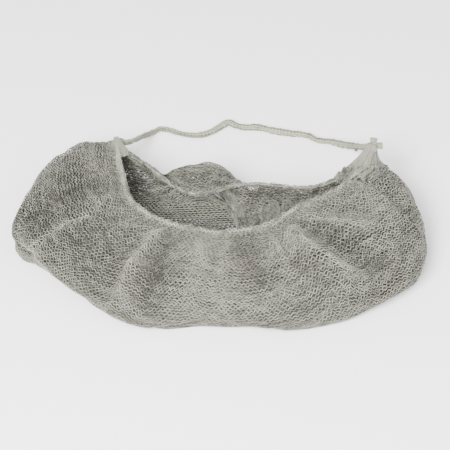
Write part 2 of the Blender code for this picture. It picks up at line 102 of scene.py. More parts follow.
# rim x, y, z; side x, y, z; foot x, y; puff. Shares of half length, half depth and rim height.
SECTIONS = np.array([
    (-0.512, 0.862, 0.735, -0.640, 1.020, 0.380, -0.595, 0.920, 0.090),
    (-0.500, 0.735, 0.765, -0.750, 0.925, 0.420, -0.695, 0.840, 0.180),
    (-0.485, 0.545, 0.820, -0.875, 0.675, 0.465, -0.805, 0.590, 0.200),
    (-0.460, 0.325, 0.880, -0.960, 0.310, 0.465, -0.880, 0.250, 0.220),
    (-0.430, 0.090, 0.910, -0.995, -0.030, 0.420, -0.925, -0.045, 0.220),
    (-0.375, -0.060, 0.910, -0.880, -0.220, 0.265, -0.825, -0.175, 0.180),
    (-0.305, -0.160, 0.910, -0.690, -0.530, 0.220, -0.640, -0.455, 0.180),
    (-0.225, -0.230, 0.900, -0.485, -0.840, 0.220, -0.455, -0.735, 0.180),
    (-0.135, -0.270, 0.890, -0.285, -0.940, 0.220, -0.270, -0.825, 0.155),
    (-0.020, -0.300, 0.865, -0.075, -0.910, 0.220, -0.075, -0.795, 0.155),
    (0.100, -0.295, 0.880, 0.150, -0.910, 0.220, 0.150, -0.795, 0.155),
    (0.225, -0.255, 0.900, 0.370, -0.940, 0.220, 0.355, -0.825, 0.180),
    (0.335, -0.130, 0.955, 0.590, -0.845, 0.220, 0.555, -0.735, 0.200),
    (0.445, -0.030, 0.990, 0.815, -0.645, 0.265, 0.765, -0.560, 0.200),
    (0.540, 0.075, 1.000, 0.960, -0.440, 0.380, 0.890, -0.380, 0.200),
    (0.620, 0.205, 1.000, 1.000, -0.090, 0.465, 0.935, -0.090, 0.180),
    (0.680, 0.340, 0.990, 0.960, 0.220, 0.535, 0.880, 0.175, 0.155),
    (0.740, 0.485, 0.980, 0.880, 0.490, 0.600, 0.805, 0.395, 0.045),
    (0.765, 0.594, 0.930, 0.845, 0.590, 0.545, 0.775, 0.485, -0.040),
    (0.730, 0.609, 0.930, 0.780, 0.635, 0.465, 0.725, 0.515, -0.010),
    (0.707, 0.500, 0.933, 0.715, 0.605, 0.400, 0.665, 0.515, 0.000),
    (0.630, 0.372, 0.930, 0.620, 0.560, 0.400, 0.590, 0.470, 0.020),
    (0.565, 0.265, 0.955, 0.540, 0.500, 0.400, 0.505, 0.410, 0.020),
    (0.455, 0.185, 0.935, 0.435, 0.470, 0.400, 0.420, 0.395, 0.020),
    (0.335, 0.200, 0.920, 0.320, 0.485, 0.380, 0.310, 0.410, 0.020),
    (0.210, 0.235, 0.910, 0.200, 0.500, 0.380, 0.200, 0.425, 0.020),
    (0.095, 0.230, 0.910, 0.100, 0.560, 0.400, 0.100, 0.485, 0.065),
    (-0.015, 0.160, 0.910, 0.000, 0.690, 0.445, 0.000, 0.620, 0.180),
    (-0.120, 0.120, 0.910, -0.125, 0.705, 0.445, -0.125, 0.630, 0.200),
    (-0.225, 0.230, 0.910, -0.250, 0.690, 0.420, -0.250, 0.620, 0.110),
    (-0.320, 0.425, 0.900, -0.360, 0.780, 0.400, -0.355, 0.690, 0.020),
    (-0.400, 0.621, 0.818, -0.445, 0.910, 0.380, -0.435, 0.825, 0.020),
    (-0.449, 0.747, 0.735, -0.515, 1.015, 0.355, -0.495, 0.925, 0.045),
    (-0.478, 0.845, 0.706, -0.555, 1.045, 0.355, -0.530, 0.950, 0.065),
])
SECTION_COUNT = len(SECTIONS)
LEFT_END, RIGHT_END = -0.5 / SECTION_COUNT, 18.5 / SECTION_COUNT
MIDDLE_UNDER_BAG = np.array([0.0, -0.30 * HALF_DEPTH, 0.0])
CREST_DOWN, SIDE_DOWN, FOOT_DOWN = 0.30, 0.60, 0.78

scale = np.array([HALF_LENGTH, HALF_DEPTH, RIM_HEIGHT])
rim_rows = SECTIONS[:, 0:3] * scale
side_rows = SECTIONS[:, 3:6] * scale
foot_rows = np.column_stack([SECTIONS[:, 6:8] * scale[:2], np.zeros(SECTION_COUNT)])
puff_rows = SECTIONS[:, 8] * RIM_HEIGHT
UP = np.array([0.0, 0.0, 1.0])


def unit(vectors):
    """Vectors divided by their length."""
    vectors = np.asarray(vectors, float)
    return vectors / np.maximum(np.linalg.norm(vectors, axis=-1, keepdims=True), 1e-12)


def full_turn(count):
    """Evenly spaced angles of one turn."""
    return 2 * math.pi * np.arange(count) / count


def spline_arc(t, before, start, end, after):
    """Cubic from start to end as t goes from 0 to 1, in line with the points around them."""
    return 0.5 * (2 * start + (end - before) * t + (2 * before - 5 * start + 4 * end - after) * t**2
                  + (3 * start - before - 3 * end + after) * t**3)


def bent_arc(t, start, leave, end, arrive, width=1.0):
    """Cubic from start to end as t goes from 0 to 1, with a given slope at both."""
    part = 2 * t**3 - 3 * t**2 + 1
    return (part * start + (t**3 - 2 * t**2 + t) * width * leave
            + (1 - part) * end + (t**3 - t**2) * width * arrive)


def read_round(rows, place):
    """Rows of a table read at any place round the mouth, by a closed cubic spline."""
    step = np.asarray(place, float) * len(rows)
    first = np.floor(step).astype(int)
    t = step - first
    if rows.ndim > 1:
        t = t[..., None]
    return spline_arc(t, *(rows[(first + k) % len(rows)] for k in (-1, 0, 1, 2)))


def smooth_bag(place, down):
    """Point of the bag without folds: rim, crest, side, foot and middle joined by cubic arcs."""
    rim, side, foot = (read_round(rows, place) for rows in (rim_rows, side_rows, foot_rows))
    swell = read_round(puff_rows, place)[..., None]
    along = unit(side - rim)
    crest = (rim + side) / 2 + unit(UP - along * along[..., 2:3]) * swell
    base = np.zeros_like(rim) + MIDDLE_UNDER_BAG
    long_step = (side - rim) / SIDE_DOWN
    tuck = np.linalg.norm(foot - side, axis=-1, keepdims=True) / (FOOT_DOWN - SIDE_DOWN)
    slopes = (
        1.25 * (crest - rim) / CREST_DOWN - 0.25 * long_step,
        long_step,
        (foot - crest) / (FOOT_DOWN - CREST_DOWN) * UP,
        unit(base - foot) * tuck,
        (base - foot) / (1.0 - FOOT_DOWN),
    )
    points = (rim, crest, side, foot, base)
    downs = (0.0, CREST_DOWN, SIDE_DOWN, FOOT_DOWN, 1.0)
    result = np.zeros_like(rim)
    for k in range(4):
        width = downs[k + 1] - downs[k]
        t = ((down - downs[k]) / width)[..., None]
        arc = bent_arc(t, points[k], slopes[k], points[k + 1], slopes[k + 1], width)
        result = np.where((t >= 0) & (t <= 1), arc, result)
    result[..., 2] = np.maximum(result[..., 2], 0.0)
    return result


# %% [markdown]
# ## Folds
#
# Thin net never lies smooth. The main folds run from the elastic outwards, where the gathered
# cloth has too much width for the rim. Each is a ridge or valley between two places of the bag,
# with a bell-shaped cross-section. The broad ones are those of the CAD source. The narrow
# creases are added here, where the net is bent double, and are painted as pale lines, a painted
# highlight.
#
# Fine gathers next to the elastic and a slow unevenness everywhere are sums of a few waves, so
# they are the same in every run.

# %% Folds, creases and gathers
FOLD_DEPTH = 0.0042
# round, down at one end; round, down at the other; height and width of the fold
FOLDS = (
    (0.137, 0.52, 0.141, 0.33, 0.8, 0.11), (0.141, 0.33, 0.115, 0.04, 0.6, 0.10),
    (0.089, 0.22, 0.120, 0.48, -0.8, 0.18), (0.209, 0.45, 0.201, 0.08, 0.9, 0.10),
    (0.226, 0.48, 0.215, 0.12, -1.0, 0.14), (0.252, 0.12, 0.264, 0.44, 0.7, 0.22),
    (0.292, 0.04, 0.303, 0.32, -1.0, 0.16), (0.344, 0.10, 0.369, 0.46, 0.8, 0.10),
    (0.361, 0.10, 0.384, 0.42, -0.8, 0.14), (0.367, 0.04, 0.405, 0.28, 0.6, 0.09),
    (0.463, 0.08, 0.440, 0.42, -0.6, 0.12), (0.444, 0.05, 0.416, 0.36, 0.6, 0.10),
    (0.688, 0.12, 0.688, 0.56, -0.8, 0.11), (0.747, 0.12, 0.743, 0.56, -1.0, 0.12),
    (0.862, 0.12, 0.858, 0.52, -0.8, 0.12),
)
CREASES = (
    (0.1397, 0.56, 0.1404, 0.36, 0.28, 0.026), (0.1404, 0.36, 0.1419, 0.24, 0.26, 0.024),
    (0.1419, 0.24, 0.1200, 0.09, 0.26, 0.026), (0.2037, 0.44, 0.2007, 0.30, 0.34, 0.028),
    (0.2010, 0.30, 0.2010, 0.04, 0.34, 0.026), (0.3471, 0.17, 0.3588, 0.30, 0.34, 0.028),
    (0.3588, 0.30, 0.3706, 0.44, 0.34, 0.028), (0.3610, 0.05, 0.4007, 0.26, 0.28, 0.026),
    (0.2480, 0.06, 0.2620, 0.26, 0.22, 0.040), (0.2740, 0.30, 0.2800, 0.05, 0.22, 0.035),
    (0.4353, 0.25, 0.4520, 0.08, 0.24, 0.028), (0.4272, 0.36, 0.4353, 0.25, 0.20, 0.028),
    (0.3240, 0.06, 0.3300, 0.30, 0.20, 0.032), (0.1620, 0.05, 0.1700, 0.26, 0.22, 0.030),
    (0.0800, 0.08, 0.0950, 0.34, 0.22, 0.032), (0.0450, 0.06, 0.0520, 0.36, 0.20, 0.032),
)
MOUTH_WAY = 1.5 * 2 * (HALF_LENGTH + HALF_DEPTH)
SECTION_WAY = 0.9 * 2 * HALF_DEPTH
GATHERS = ((34, 0.00070, 0.0), (61, 0.00040, 1.3), (97, 0.00026, 0.4), (151, 0.00018, 2.0))
UNEVENNESS = ((5, 2.1, 0.00055, 0.3), (9, -3.4, 0.00045, 1.9), (14, 5.2, 0.00038, 4.0),
              (23, -7.1, 0.00030, 2.2), (31, 9.7, 0.00024, 5.1), (47, 14.0, 0.00018, 0.9))


def fold_height(table, place, down):
    """Sum of the folds of a table: each falls off as a bell with the distance from its line."""
    total = np.zeros(np.broadcast(place, down).shape)
    here = np.stack(np.broadcast_arrays(place * MOUTH_WAY, down * SECTION_WAY), -1)
    for round_1, down_1, round_2, down_2, height, width in table:
        start = np.array([round_1 * MOUTH_WAY, down_1 * SECTION_WAY])
        run = np.array([round_2 * MOUTH_WAY, down_2 * SECTION_WAY]) - start
        t = np.clip(((here - start) @ run) / (run @ run), 0.0, 1.0)
        away = np.linalg.norm(here - start - t[..., None] * run, axis=-1)
        total += height * FOLD_DEPTH * np.exp(-(away / (width * RIM_HEIGHT))**2)
    return total


def relief(place, down):
    """Folds, creases, gathers that fade below the rim, and slow unevenness, outwards."""
    height = fold_height(FOLDS, place, down) + fold_height(CREASES, place, down)
    near_rim = np.clip(1.0 - down / 0.35, 0.0, 1.0)
    for count, depth, phase in GATHERS:
        height = height + depth * near_rim * np.cos(2 * math.pi * count * place + phase + 5 * down)
    for around, along, depth, phase in UNEVENNESS:
        height = height + depth * np.cos(2 * math.pi * around * place + along * 6 * down + phase)
    return height * np.clip((down - 0.01) / 0.10, 0.0, 1.0)


SMALL_ROUND, SMALL_DOWN = 2e-4, 2e-3


def bag_frame(place, down):
    """Point of the folded bag and its outward direction, from two small steps on the surface."""
    place, down = np.broadcast_arrays(np.asarray(place, float), np.asarray(down, float))
    point = smooth_bag(place, down)
    round_step = smooth_bag(place + SMALL_ROUND, down) - smooth_bag(place - SMALL_ROUND, down)
    lower, upper = np.minimum(down + SMALL_DOWN, 1.0), np.maximum(down - SMALL_DOWN, 0.0)
    outward = unit(np.cross(smooth_bag(place, lower) - smooth_bag(place, upper), round_step))
    folded = point + outward * relief(place, down)[..., None] * (point[..., 2:3] > 1e-6)
    return folded, outward


coarse_bag = smooth_bag(*np.meshgrid(np.arange(1360) / 1360, np.linspace(0, 1, 91), indexing="ij"))
own_middle = (coarse_bag.min(axis=(0, 1)) + coarse_bag.max(axis=(0, 1))) / 2
SHIFT = np.array(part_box("net_pouch")).mean(axis=0) - own_middle
SHIFT[2] = 0.0
print("The packed bag is shifted by, mm:", (SHIFT * 1000).round(2))

# %% [markdown]
# ## Yarn finish
#
# Net and elastic are undyed nylon: off-white, matt, a little yellow in the elastic. One shader
# group serves them all. It varies the colour slowly, as thin and dense places of real yarn do,
# turns it a little warmer in a few broad patches, and lays fine streaks over each yarn, which
# also lift the surface a little.
#
# Little light gets between the two plies of the net, so a yarn is painted pale on its open side
# and painted dark, as shade, on the side that faces the other ply. Each point of a yarn therefore
# carries a tone, from 0 for open to 1 for deep, which is mostly painted light and shade, and the
# group blends the two colours by it.

# %% Yarn shader group
STREAK_STRETCH = (900.0, 6.0, 1.0)
WARM_FROM, WARM_GAIN = 0.53, 5.0


def feed(tree, inputs, **values):
    """Give inputs, named with _ for a space, a value each or a link from another socket."""
    for name, value in values.items():
        socket = inputs[name.replace("_", " ")]
        if isinstance(value, (int, float, tuple)):
            socket.default_value = value
        else:
            tree.links.new(value, socket)


def new_node(tree, kind, **values):
    """Node of one kind with some of its inputs fed by name."""
    node = tree.nodes.new(kind)
    feed(tree, node.inputs, **values)
    return node


def noise(tree, vector, scale, detail, roughness):
    """Noise from 0 to 1 at a vector."""
    return new_node(tree, "ShaderNodeTexNoise", Vector=vector, Scale=scale, Detail=detail,
                    Roughness=roughness).outputs["Fac"]


def maths(tree, operation, first, second, clamp=False):
    """Math node between a socket and another socket or a number."""
    node = tree.nodes.new("ShaderNodeMath")
    node.operation = operation
    node.use_clamp = clamp
    tree.links.new(first, node.inputs[0])
    if isinstance(second, float):
        node.inputs[1].default_value = second
    else:
        tree.links.new(second, node.inputs[1])
    return node.outputs[0]


def colour_mix(tree, factor, first, second):
    """Mix of two colour sockets."""
    node = tree.nodes.new("ShaderNodeMix")
    node.data_type = "RGBA"
    feed(tree, node.inputs, Factor=factor, A=first, B=second)
    return node.outputs["Result"]


def make_yarn_group():
    """Warm and slow patches, fine streaks across a UV map and a tone per point, in one colour."""
    group = bpy.data.node_groups.new("yarn_look", "ShaderNodeTree")
    for side, kind, names in (
        ("INPUT", "Color", ("Light Colour", "Warm Colour", "Deep Colour")),
        ("INPUT", "Float", ("Patch Scale", "Patch Strength", "Streak Scale", "Streak Strength",
                            "Tone", "Roughness")),
        ("OUTPUT", "Color", ("Colour",)),
        ("OUTPUT", "Float", ("Roughness", "Height")),
    ):
        for name in names:
            group.interface.new_socket(name, in_out=side, socket_type="NodeSocket" + kind)
    given = group.nodes.new("NodeGroupInput").outputs
    place = group.nodes.new("ShaderNodeTexCoord").outputs

    patch = noise(group, place["Object"], given["Patch Scale"], 3.0, 0.55)
    stretch = new_node(group, "ShaderNodeMapping", Vector=place["UV"], Scale=STREAK_STRETCH)
    streak = noise(group, stretch.outputs["Vector"], given["Streak Scale"], 2.0, 0.6)
    both = maths(group, "ADD", *(
        maths(group, "MULTIPLY", maths(group, "SUBTRACT", field, 0.5), given[strength])
        for field, strength in ((patch, "Patch Strength"), (streak, "Streak Strength"))))
    depth = maths(group, "SUBTRACT", given["Tone"], both, clamp=True)
    warmth = maths(group, "SUBTRACT", noise(group, place["Object"], 30.0, 1.0, 0.4), WARM_FROM,
                   clamp=True)
    warm_part = maths(group, "MULTIPLY", warmth, WARM_GAIN, clamp=True)
    tint = colour_mix(group, warm_part, given["Light Colour"], given["Warm Colour"])
    new_node(group, "NodeGroupOutput", Height=streak,
             Colour=colour_mix(group, depth, tint, given["Deep Colour"]),
             Roughness=maths(group, "SUBTRACT", given["Roughness"], both, clamp=True))
    return group


yarn_group = make_yarn_group()
BUMP_DISTANCE = 0.0002


def yarn_material(name, light, warm, deep, patch, streak, roughness, bump, sheen):
    """Material of one yarn. patch and streak are (scale, strength). Tone is read per point."""
    material = bpy.data.materials.new(name)
    material.use_nodes = True
    tree = material.node_tree
    reader = tree.nodes.new("ShaderNodeAttribute")
    reader.attribute_name = "tone"
    look = tree.nodes.new("ShaderNodeGroup")
    look.node_tree = yarn_group
    feed(tree, look.inputs, Light_Colour=light, Warm_Colour=warm, Deep_Colour=deep,
         Patch_Scale=patch[0], Patch_Strength=patch[1], Streak_Scale=streak[0],
         Streak_Strength=streak[1], Tone=reader.outputs["Fac"], Roughness=roughness)
    lift = new_node(tree, "ShaderNodeBump", Strength=bump, Distance=BUMP_DISTANCE,
                    Height=look.outputs["Height"])
    feed(tree, tree.nodes["Principled BSDF"].inputs, Base_Color=look.outputs["Colour"],
         Roughness=look.outputs["Roughness"], Normal=lift.outputs["Normal"], Sheen_Weight=sheen,
         Sheen_Roughness=0.5, Specular_IOR_Level=0.35)
    return material


net_yarn = yarn_material(
    "net_yarn", (0.241, 0.243, 0.195, 1), (0.258, 0.237, 0.198, 1), (0.014, 0.013, 0.007, 1),
    patch=(42.0, 0.35), streak=(1.0, 0.22), roughness=0.60, bump=0.3, sheen=0.10)
rim_yarn = yarn_material(
    "rim_yarn", (0.385, 0.390, 0.328, 1), (0.395, 0.386, 0.318, 1), (0.04, 0.04, 0.026, 1),
    patch=(150.0, 0.45), streak=(1.0, 0.25), roughness=0.66, bump=0.4, sheen=0.10)
loop_yarn = yarn_material(
    "loop_yarn", (0.256, 0.262, 0.196, 1), (0.264, 0.260, 0.192, 1), (0.040, 0.040, 0.022, 1),
    patch=(160.0, 0.75), streak=(1.0, 0.40), roughness=0.7, bump=0.5, sheen=0.08)
print("Materials:", [m.name for m in (net_yarn, rim_yarn, loop_yarn)])

# %% [markdown]
# ## One helper for every yarn
#
# Every yarn here is a line of points with a small oval carried along it. Many rows are swept at
# once as whole arrays. A mask says which points of a row exist, so a row may start and stop
# where the net does. Its open ends are closed with small caps.

# %% Meshes and swept yarns
TABLE_GAP = 0.00002


def mesh_piece(name, shape, material, replaces=()):
    """Mesh object from points, faces, a UV and a tone per point, riding on the root body.

    Points that would dip into the table are pressed flat on it.
    """
    points, faces, uv, tone = shape
    points[:, 2] = np.maximum(points[:, 2], TABLE_GAP)
    mesh = bpy.data.meshes.new(name)
    mesh.from_pydata(points.tolist(), [], faces)
    mesh.shade_smooth()
    corner = np.zeros(len(mesh.loops), np.int32)
    mesh.loops.foreach_get("vertex_index", corner)
    mesh.uv_layers.new(name="UVMap").uv.foreach_set("vector", uv[corner].astype(np.float32).ravel())
    values = mesh.attributes.new("tone", "FLOAT", "POINT")
    values.data.foreach_set("value", np.broadcast_to(tone, len(points)).astype(np.float32))
    mesh.materials.append(material)
    piece = bpy.data.objects.new(name, mesh)
    bpy.context.scene.collection.objects.link(piece)
    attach(piece, "root")
    if replaces:
        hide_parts(*replaces)
    print(f"{name}: {sum(len(face) - 2 for face in faces)} triangles")
    return piece


def frames_of(lines, closed, up=UP):
    """Across and lift vectors along lines of points, square to the line and to each other."""
    if closed:
        ahead = unit(np.roll(lines, -1, axis=-2) - np.roll(lines, 1, axis=-2))
    else:
        ahead = unit(np.gradient(lines, axis=-2))
    across = unit(np.cross(ahead, up))
    return across, np.cross(across, ahead)


def sweep(lines, up, wide, high, keep=None, closed=False, sides=4, tone=0.0, side_tones=None):
    """Oval tubes along rows of points. lines and up are (rows, points, 3).

    Ring = point + cos(turn) * wide * across + sin(turn) * high * lift, with across and lift square
    to the line. With four sides these are a side, the top, a side and the bottom of the yarn.
    With three they are the top and the two lower corners. side_tones adds to the tone of each.
    """
    rows, count = lines.shape[:2]
    keep = np.ones((rows, count), bool) if keep is None else keep
    across, lift = frames_of(lines, closed, up)
    k = np.arange(sides)
    turn = full_turn(sides) + (math.pi / 2 if sides == 3 else 0.0)
    wide = np.broadcast_to(wide, (rows, count))[..., None, None]
    high = np.broadcast_to(high, (rows, count))[..., None, None]
    rings = (lines[:, :, None] + np.cos(turn)[:, None] * across[:, :, None] * wide
             + np.sin(turn)[:, None] * lift[:, :, None] * high)
    here = (np.arange(rows)[:, None] * count + np.arange(count)[None]) * sides
    there = np.roll(here, -1, axis=1)
    joined = keep & np.roll(keep, -1, axis=1)
    if not closed:
        joined[:, -1] = False
    first = joined & ~np.roll(joined, 1, axis=1)
    last = joined & ~np.roll(joined, -1, axis=1)
    a, b, n = here[joined][:, None], there[joined][:, None], (k + 1) % sides
    tube = np.stack([a + k, b + k, b + n, a + n], -1)
    caps = np.concatenate([here[first][:, None] + k, there[last][:, None] + k[::-1]])
    used, fresh = np.unique(np.concatenate([tube.ravel(), caps.ravel()]), return_inverse=True)
    fresh = fresh.ravel()
    faces = fresh[:tube.size].reshape(-1, 4).tolist()
    faces += fresh[tube.size:].reshape(-1, sides).tolist()
    steps = np.linalg.norm(np.diff(lines, axis=1, prepend=lines[:, :1]), axis=-1)
    uv = np.stack(np.broadcast_arrays(np.cumsum(steps, axis=1)[:, :, None], k / sides), -1)
    shade = np.broadcast_to(tone, (rows, count))[..., None]
    shade = shade + (np.zeros(sides) if side_tones is None else np.asarray(side_tones))
    return rings.reshape(-1, 3)[used], faces, uv.reshape(-1, 2)[used], shade.reshape(-1)[used]


def slow_noise(rows, count, row_step, count_step):
    """Smooth random field from -1 to 1 that closes on itself along its rows of points."""
    coarse = random.uniform(-1.0, 1.0, (int(rows / row_step) + 2, max(int(count / count_step), 1)))
    at_row = np.arange(rows) / row_step
    at_point = np.arange(count) / count * coarse.shape[1]
    row, point = at_row.astype(int), at_point.astype(int)
    part_row, part_point = (at_row - row)[:, None], (at_point - point)[None]
    after = (point + 1) % coarse.shape[1]
    upper = coarse[row][:, point] * (1 - part_point) + coarse[row][:, after] * part_point
    lower = coarse[row + 1][:, point] * (1 - part_point) + coarse[row + 1][:, after] * part_point
    return upper * (1 - part_row) + lower * part_row


# %% [markdown]
# ## Distances over the bag
#
# A knitted net is rows of yarn that wave up and down. Where two rows meet they are looped into
# each other, and between these places they leave six-sided holes, each row half a hole along
# from the last. Here a stitch is 2.7 mm long and the rows are 1.6 mm apart, which comes near the
# pitch of the knit in the picture.
#
# Rows run round the mouth at a set distance from the rim, measured down over the cloth. Near the
# rim the net is gathered in small puckers, and what shows there is every second or third stitch,
# as large as the stitches on the sides. So each row gets the number of stitches that its own
# length holds. To place the rows, the distance down every section is measured once and then read
# backwards.

# %% Distances over the bag
STITCH_LENGTH = 0.0027
ROW_HEIGHT = 0.0016
PROFILE_DOWNS = np.linspace(0.0, FOOT_DOWN + 0.02, 121)
# way down of the line round the sides whose length sets the number of stitches
COUNTING_DOWN = 0.42
ROUND_STEPS = 2400

round_places = np.arange(ROUND_STEPS) / ROUND_STEPS


def running_length(line, closed=False):
    """Length along a line of points, from 0 at its start to its whole length."""
    line = np.vstack([line, line[:1]]) if closed else line
    return np.concatenate([[0.0], np.cumsum(np.linalg.norm(np.diff(line, axis=0), axis=1))])


side_run = running_length(smooth_bag(round_places, np.full(ROUND_STEPS, COUNTING_DOWN)), True)
rim_run = running_length(read_round(rim_rows, round_places), True)
STITCHES = int(round(side_run[-1] / STITCH_LENGTH))
print("Round the sides:", round(side_run[-1] * 1000), "mm,", STITCHES, "stitches")
print("Round the rim:", round(rim_run[-1] * 1000), "mm")


def place_at(share, run):
    """Place round the mouth at a share of the length of a measured line."""
    return np.interp(share * run[-1], run, np.append(round_places, 1.0))


def slumped_bag(place, down, slump):
    """Point of the folded bag, moved by a slump."""
    return bag_frame(place, down)[0] + slump(place, down)


def section_lengths(place, slump):
    """Distance from the rim to every profile point, one row for each place."""
    points = slumped_bag(place[:, None], PROFILE_DOWNS[None], slump)
    steps = np.linalg.norm(np.diff(points, axis=1), axis=-1)
    return np.concatenate([np.zeros((len(place), 1)), np.cumsum(steps, axis=1)], axis=1)


def down_at(distance, lengths):
    """Way down the section at a distance below the rim. distance is (rows, points)."""
    found = np.zeros(distance.shape)
    for row, wanted in enumerate(distance):
        above = np.clip((lengths < wanted[:, None]).sum(axis=1), 1, lengths.shape[1] - 1)
        low, high = (np.take_along_axis(lengths, k[:, None], axis=1)[:, 0]
                     for k in (above - 1, above))
        part = np.clip((wanted - low) / np.maximum(high - low, 1e-9), 0.0, 1.0)
        upper, lower = PROFILE_DOWNS[above - 1], PROFILE_DOWNS[above]
        found[row] = upper + part * (lower - upper)
    return found


# %% [markdown]
# ## Two plies of honeycomb
#
# The wall is taken as two plies of net that lie on each other, each with its own cells. The
# outer ply follows the bag and the inner ply lies a millimetre inside it. At the back on the
# right some spare net has slumped forward into the mouth as a fold. It is the pale sheet that
# hides most of the inside there.

# %% Net rows
YARN_WIDE = 0.00030
YARN_HIGH = 0.00024
INNER_WIDE = 0.00068
# widths at the front, at the back and behind the slumped fold
OUTER_WIDTHS = (YARN_WIDE, YARN_WIDE, 0.00078)
INNER_WIDTHS = (INNER_WIDE, 0.00082, 0.00042)
FOLD_WIDTHS = (YARN_WIDE, YARN_WIDE, 0.00036)
# tone added at each side of a yarn: painted light on its open side, painted shade on the side that
# faces the other ply, and on the outer ply painted shade on both its edges too
OPEN_OUTWARD = (0.62, -0.10, 0.62, 0.90)
OPEN_INWARD = (1.00, 0.16, 0.16)
OPEN_BOTH = (-0.28, 0.60, 0.60)
# share of its width that a yarn keeps clear of the next row
YARN_ROOM = 0.55
MOST_ROWS = 90
FOLD_DOWN = 0.46
# unevenness of the rows: its size, then the rows and the points from one random value to the next
PHASE_JITTER = (1.1, 1, 6)
FINE_DRIFT, BROAD_DRIFT = (0.00042, 1.5, 9), (0.0018, 8, 55)
REACH_JITTER = (0.28, 3, 12)
FINE_SWAY, BROAD_SWAY = (0.00030, 2, 9), (0.0018, 9, 45)
LOFT_JITTER = (0.00022, 1.5, 8)
FINE_TONE, BROAD_TONE = (0.32, 1, 4), (0.08, 9, 60)
SIZE_JITTER = (0.22, 1, 7)


def stitch_wave(phase):
    """Shape of one row from -1 to 1: nearly flat, with one narrow peak in each stitch."""
    return 2.0 * (0.5 + 0.5 * np.sin(phase))**2.0 - 1.0


def no_slump(place, down):
    """Nothing added."""
    return np.zeros(np.broadcast(place, down).shape + (3,))


def step_up(value, start, stop):
    """Smooth step from 0 at start to 1 at stop."""
    t = np.clip((value - start) / (stop - start), 0.0, 1.0)
    return t * t * (3 - 2 * t)


def between(value, start, full, fade, stop):
    """1 from full to fade, falling smoothly to 0 at start and at stop."""
    return step_up(value, start, full) * step_up(value, stop, fade)


def section_at(place):
    """Number of the section at a place, with the part of the way to the next."""
    return (place % 1.0) * SECTION_COUNT


def fold_window(place, down):
    """Where the slumped fold is, 0 to 1: behind the right half of the mouth."""
    left_edge = 26.1 + 4.0 * down * (FOLD_DOWN - down) / 0.23
    return between(section_at(place), 20.9, 21.9, left_edge - 1.1, left_edge)


def fold_dents(place, down):
    """Two small hollows in the fold, just under the rim, 1 in their middles. The yarn in them is
    also painted dark, as shade.
    """
    section = section_at(place)
    return (np.exp(-((section - 24.15) / 0.25)**2 - ((down - 0.11) / 0.034)**2)
            + 0.9 * np.exp(-((section - 22.95) / 0.22)**2 - ((down - 0.10) / 0.030)**2))


def fold_slump(place, down):
    """Forward move of the slumped fold, with its two hollows, fine ruffles and a lip on the rim."""
    section, window = section_at(place), fold_window(place, down)
    reach = np.interp(section, (21.0, 22.0, 23.0, 24.0, 25.5), (0.007, 0.014, 0.020, 0.027, 0.036))
    bulge = window * np.sin(np.pi * np.clip(down / FOLD_DOWN, 0.0, 1.0))**0.8
    lip = window * np.exp(-(down / 0.04)**2)
    ruffles = (0.0013 * np.sin(section * 9.0 + down * 20.0)
               + 0.0009 * np.sin(section * 17.0 - down * 31.0))
    move = no_slump(place, down)
    move[..., 1] = -bulge * (reach + ruffles) - 0.0010 * lip
    move[..., 2] = (bulge * (0.0015 - 0.0090 * fold_dents(place, down) + ruffles)
                    + (0.0010 + 0.5 * ruffles) * lip)
    return move


# Patches of painted shade (a positive change) and painted light (a negative change) over broad
# parts of the net.
# place and way down of the middle of a patch, its radius, and its change of tone
LIGHT_AND_SHADE_PATCHES = (
    (0.129, 0.404, 0.016, 0.12), (0.115, 0.240, 0.014, 0.10), (0.260, 0.190, 0.017, -0.06),
    (0.300, 0.120, 0.010, 0.16), (0.368, 0.270, 0.018, 0.14), (0.435, 0.180, 0.014, -0.04),
    (0.222, 0.300, 0.015, 0.24), (0.190, 0.120, 0.009, -0.04), (0.410, 0.420, 0.016, 0.06),
    (0.330, 0.120, 0.010, -0.05), (0.165, 0.450, 0.014, 0.10), (0.320, 0.400, 0.018, -0.01),
    (0.800, 0.120, 0.022, 0.20), (0.850, 0.150, 0.018, 0.16), (0.050, 0.200, 0.025, 0.04),
    (0.100, 0.350, 0.040, 0.08), (0.165, 0.250, 0.030, 0.18),
)


def painted_net_shade(place, down):
    """Painted light and shade of the net at a place: a painted highlight on ridges and creases,
    painted shade in valleys, and broad patches of both.
    """
    folds = fold_height(FOLDS, place, down) / FOLD_DEPTH
    creases = fold_height(CREASES, place, down) / FOLD_DEPTH
    tone = 0.16 - 0.20 * np.clip(folds, -1.5, 1.5) - 0.90 * creases
    for round_at, down_at_patch, radius, change in LIGHT_AND_SHADE_PATCHES:
        away = ((place - round_at) * MOUTH_WAY)**2 + ((down - down_at_patch) * SECTION_WAY)**2
        tone = tone + change * np.exp(-away / radius**2)
    return tone


def yarn_width(place, widths):
    """Width of the yarn at a place, from its widths in front, at the back and behind the fold."""
    front, back, behind_fold = widths
    at_back = between(place, 0.60, 0.66, 0.94, 0.99)
    at_fold = between(place, 0.58, 0.63, 0.75, 0.79)
    return front + (back - front) * at_back * (1 - at_fold) + (behind_fold - front) * at_fold


